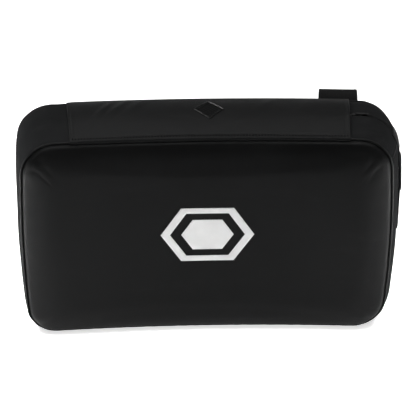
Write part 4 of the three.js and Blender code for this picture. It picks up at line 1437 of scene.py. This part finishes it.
def build_stage():
    bpy.ops.mesh.primitive_circle_add(vertices=96, radius=40, fill_type="NGON")
    floor = bpy.context.active_object
    floor.name = "studio_floor"
    look = Look("studio_floor_paint", 0.9, Specular_IOR_Level=0.1, Emission_Strength=0.7,
                Emission_Color=(1, 1, 1, 1))
    tone = look.ramp(look.noise(3, 3), (0.3, grey(0.9)), (0.7, grey(0.93)))
    floor.data.materials.append(look.finished(tone, 0.9))


def build_world():
    world = bpy.data.worlds.new("studio")
    bpy.context.scene.world = world
    world.use_nodes = True
    nodes, links = world.node_tree.nodes, world.node_tree.links
    split = nodes.new("ShaderNodeSeparateXYZ")
    ramp = nodes.new("ShaderNodeValToRGB")
    links.new(nodes.new("ShaderNodeTexCoord").outputs["Generated"], split.inputs[0])
    links.new(split.outputs["Z"], ramp.inputs["Fac"])
    stops = ((0.02, SURROUND["horizon"]), (0.3, SURROUND["overhead"]))
    for element, (position, tone) in zip(ramp.color_ramp.elements, stops):
        element.position = position
        element.color = grey(tone)
    links.new(ramp.outputs["Color"], nodes["Background"].inputs[0])


def build_lights():
    for name, location, target, (width, height), power, spread in LIGHTS:
        data = bpy.data.lights.new(name, "AREA")
        data.shape = "RECTANGLE"
        data.size = width
        data.size_y = height
        data.energy = power
        data.spread = math.radians(spread)
        lamp = bpy.data.objects.new(name, data)
        lamp.location = location
        aim = Vector(target) - Vector(location)
        lamp.rotation_euler = aim.to_track_quat("-Z", "Y").to_euler()
        bpy.context.scene.collection.objects.link(lamp)
    bpy.context.scene.view_settings.view_transform = "Standard"


def build_camera():
    data = bpy.data.cameras.new("camera")
    data.lens = CAMERA["lens"]
    data.sensor_width = 36.0
    data.shift_x, data.shift_y = CAMERA["shift"]
    camera = bpy.data.objects.new("camera", data)
    elevation, azimuth = math.radians(CAMERA["elevation"]), math.radians(CAMERA["azimuth"])
    back = Vector((math.sin(azimuth) * math.cos(elevation), -math.cos(azimuth) * math.cos(elevation),
                   math.sin(elevation)))
    camera.location = Vector(MIDDLE) + back * CAMERA["distance"]
    facing = (-back).to_track_quat("-Z", "Y").to_matrix()
    facing = facing @ Matrix.Rotation(math.radians(CAMERA["roll"]), 3, "Z")
    camera.rotation_euler = facing.to_euler()
    bpy.context.scene.collection.objects.link(camera)
    bpy.context.scene.camera = camera


build_camera()
build_world()
build_lights()
build_stage()
strike_panel = build_panel("cover_strike_panel", "strike_panel", strike_depth, -1, STRIKE, FACE, 1.0,
                           1.1)
build_panel("cover_back_panel", "back_panel", back_depth, 1, BACK, GUSSET, 0.6, 0.8)
build_mark(strike_panel)
build_gussets()
build_piping("cover_front_piping", "front_piping", 0.0)
build_piping("cover_back_piping", "back_piping", DEPTH)
build_foams()
build_zip()
build_flap()
sew_flap()
build_closure("flap_hook_tape", "flap_hook_strip", HOOKS, "flap", flap_underside, 0.2, up=-1)
build_closure("flap_loop_tape", "flap_loop_strip", LOOPS, "shield", gusset_height, 0.3, up=1)
build_lozenge()
build_strap()
build_grip()
build_end_handle()
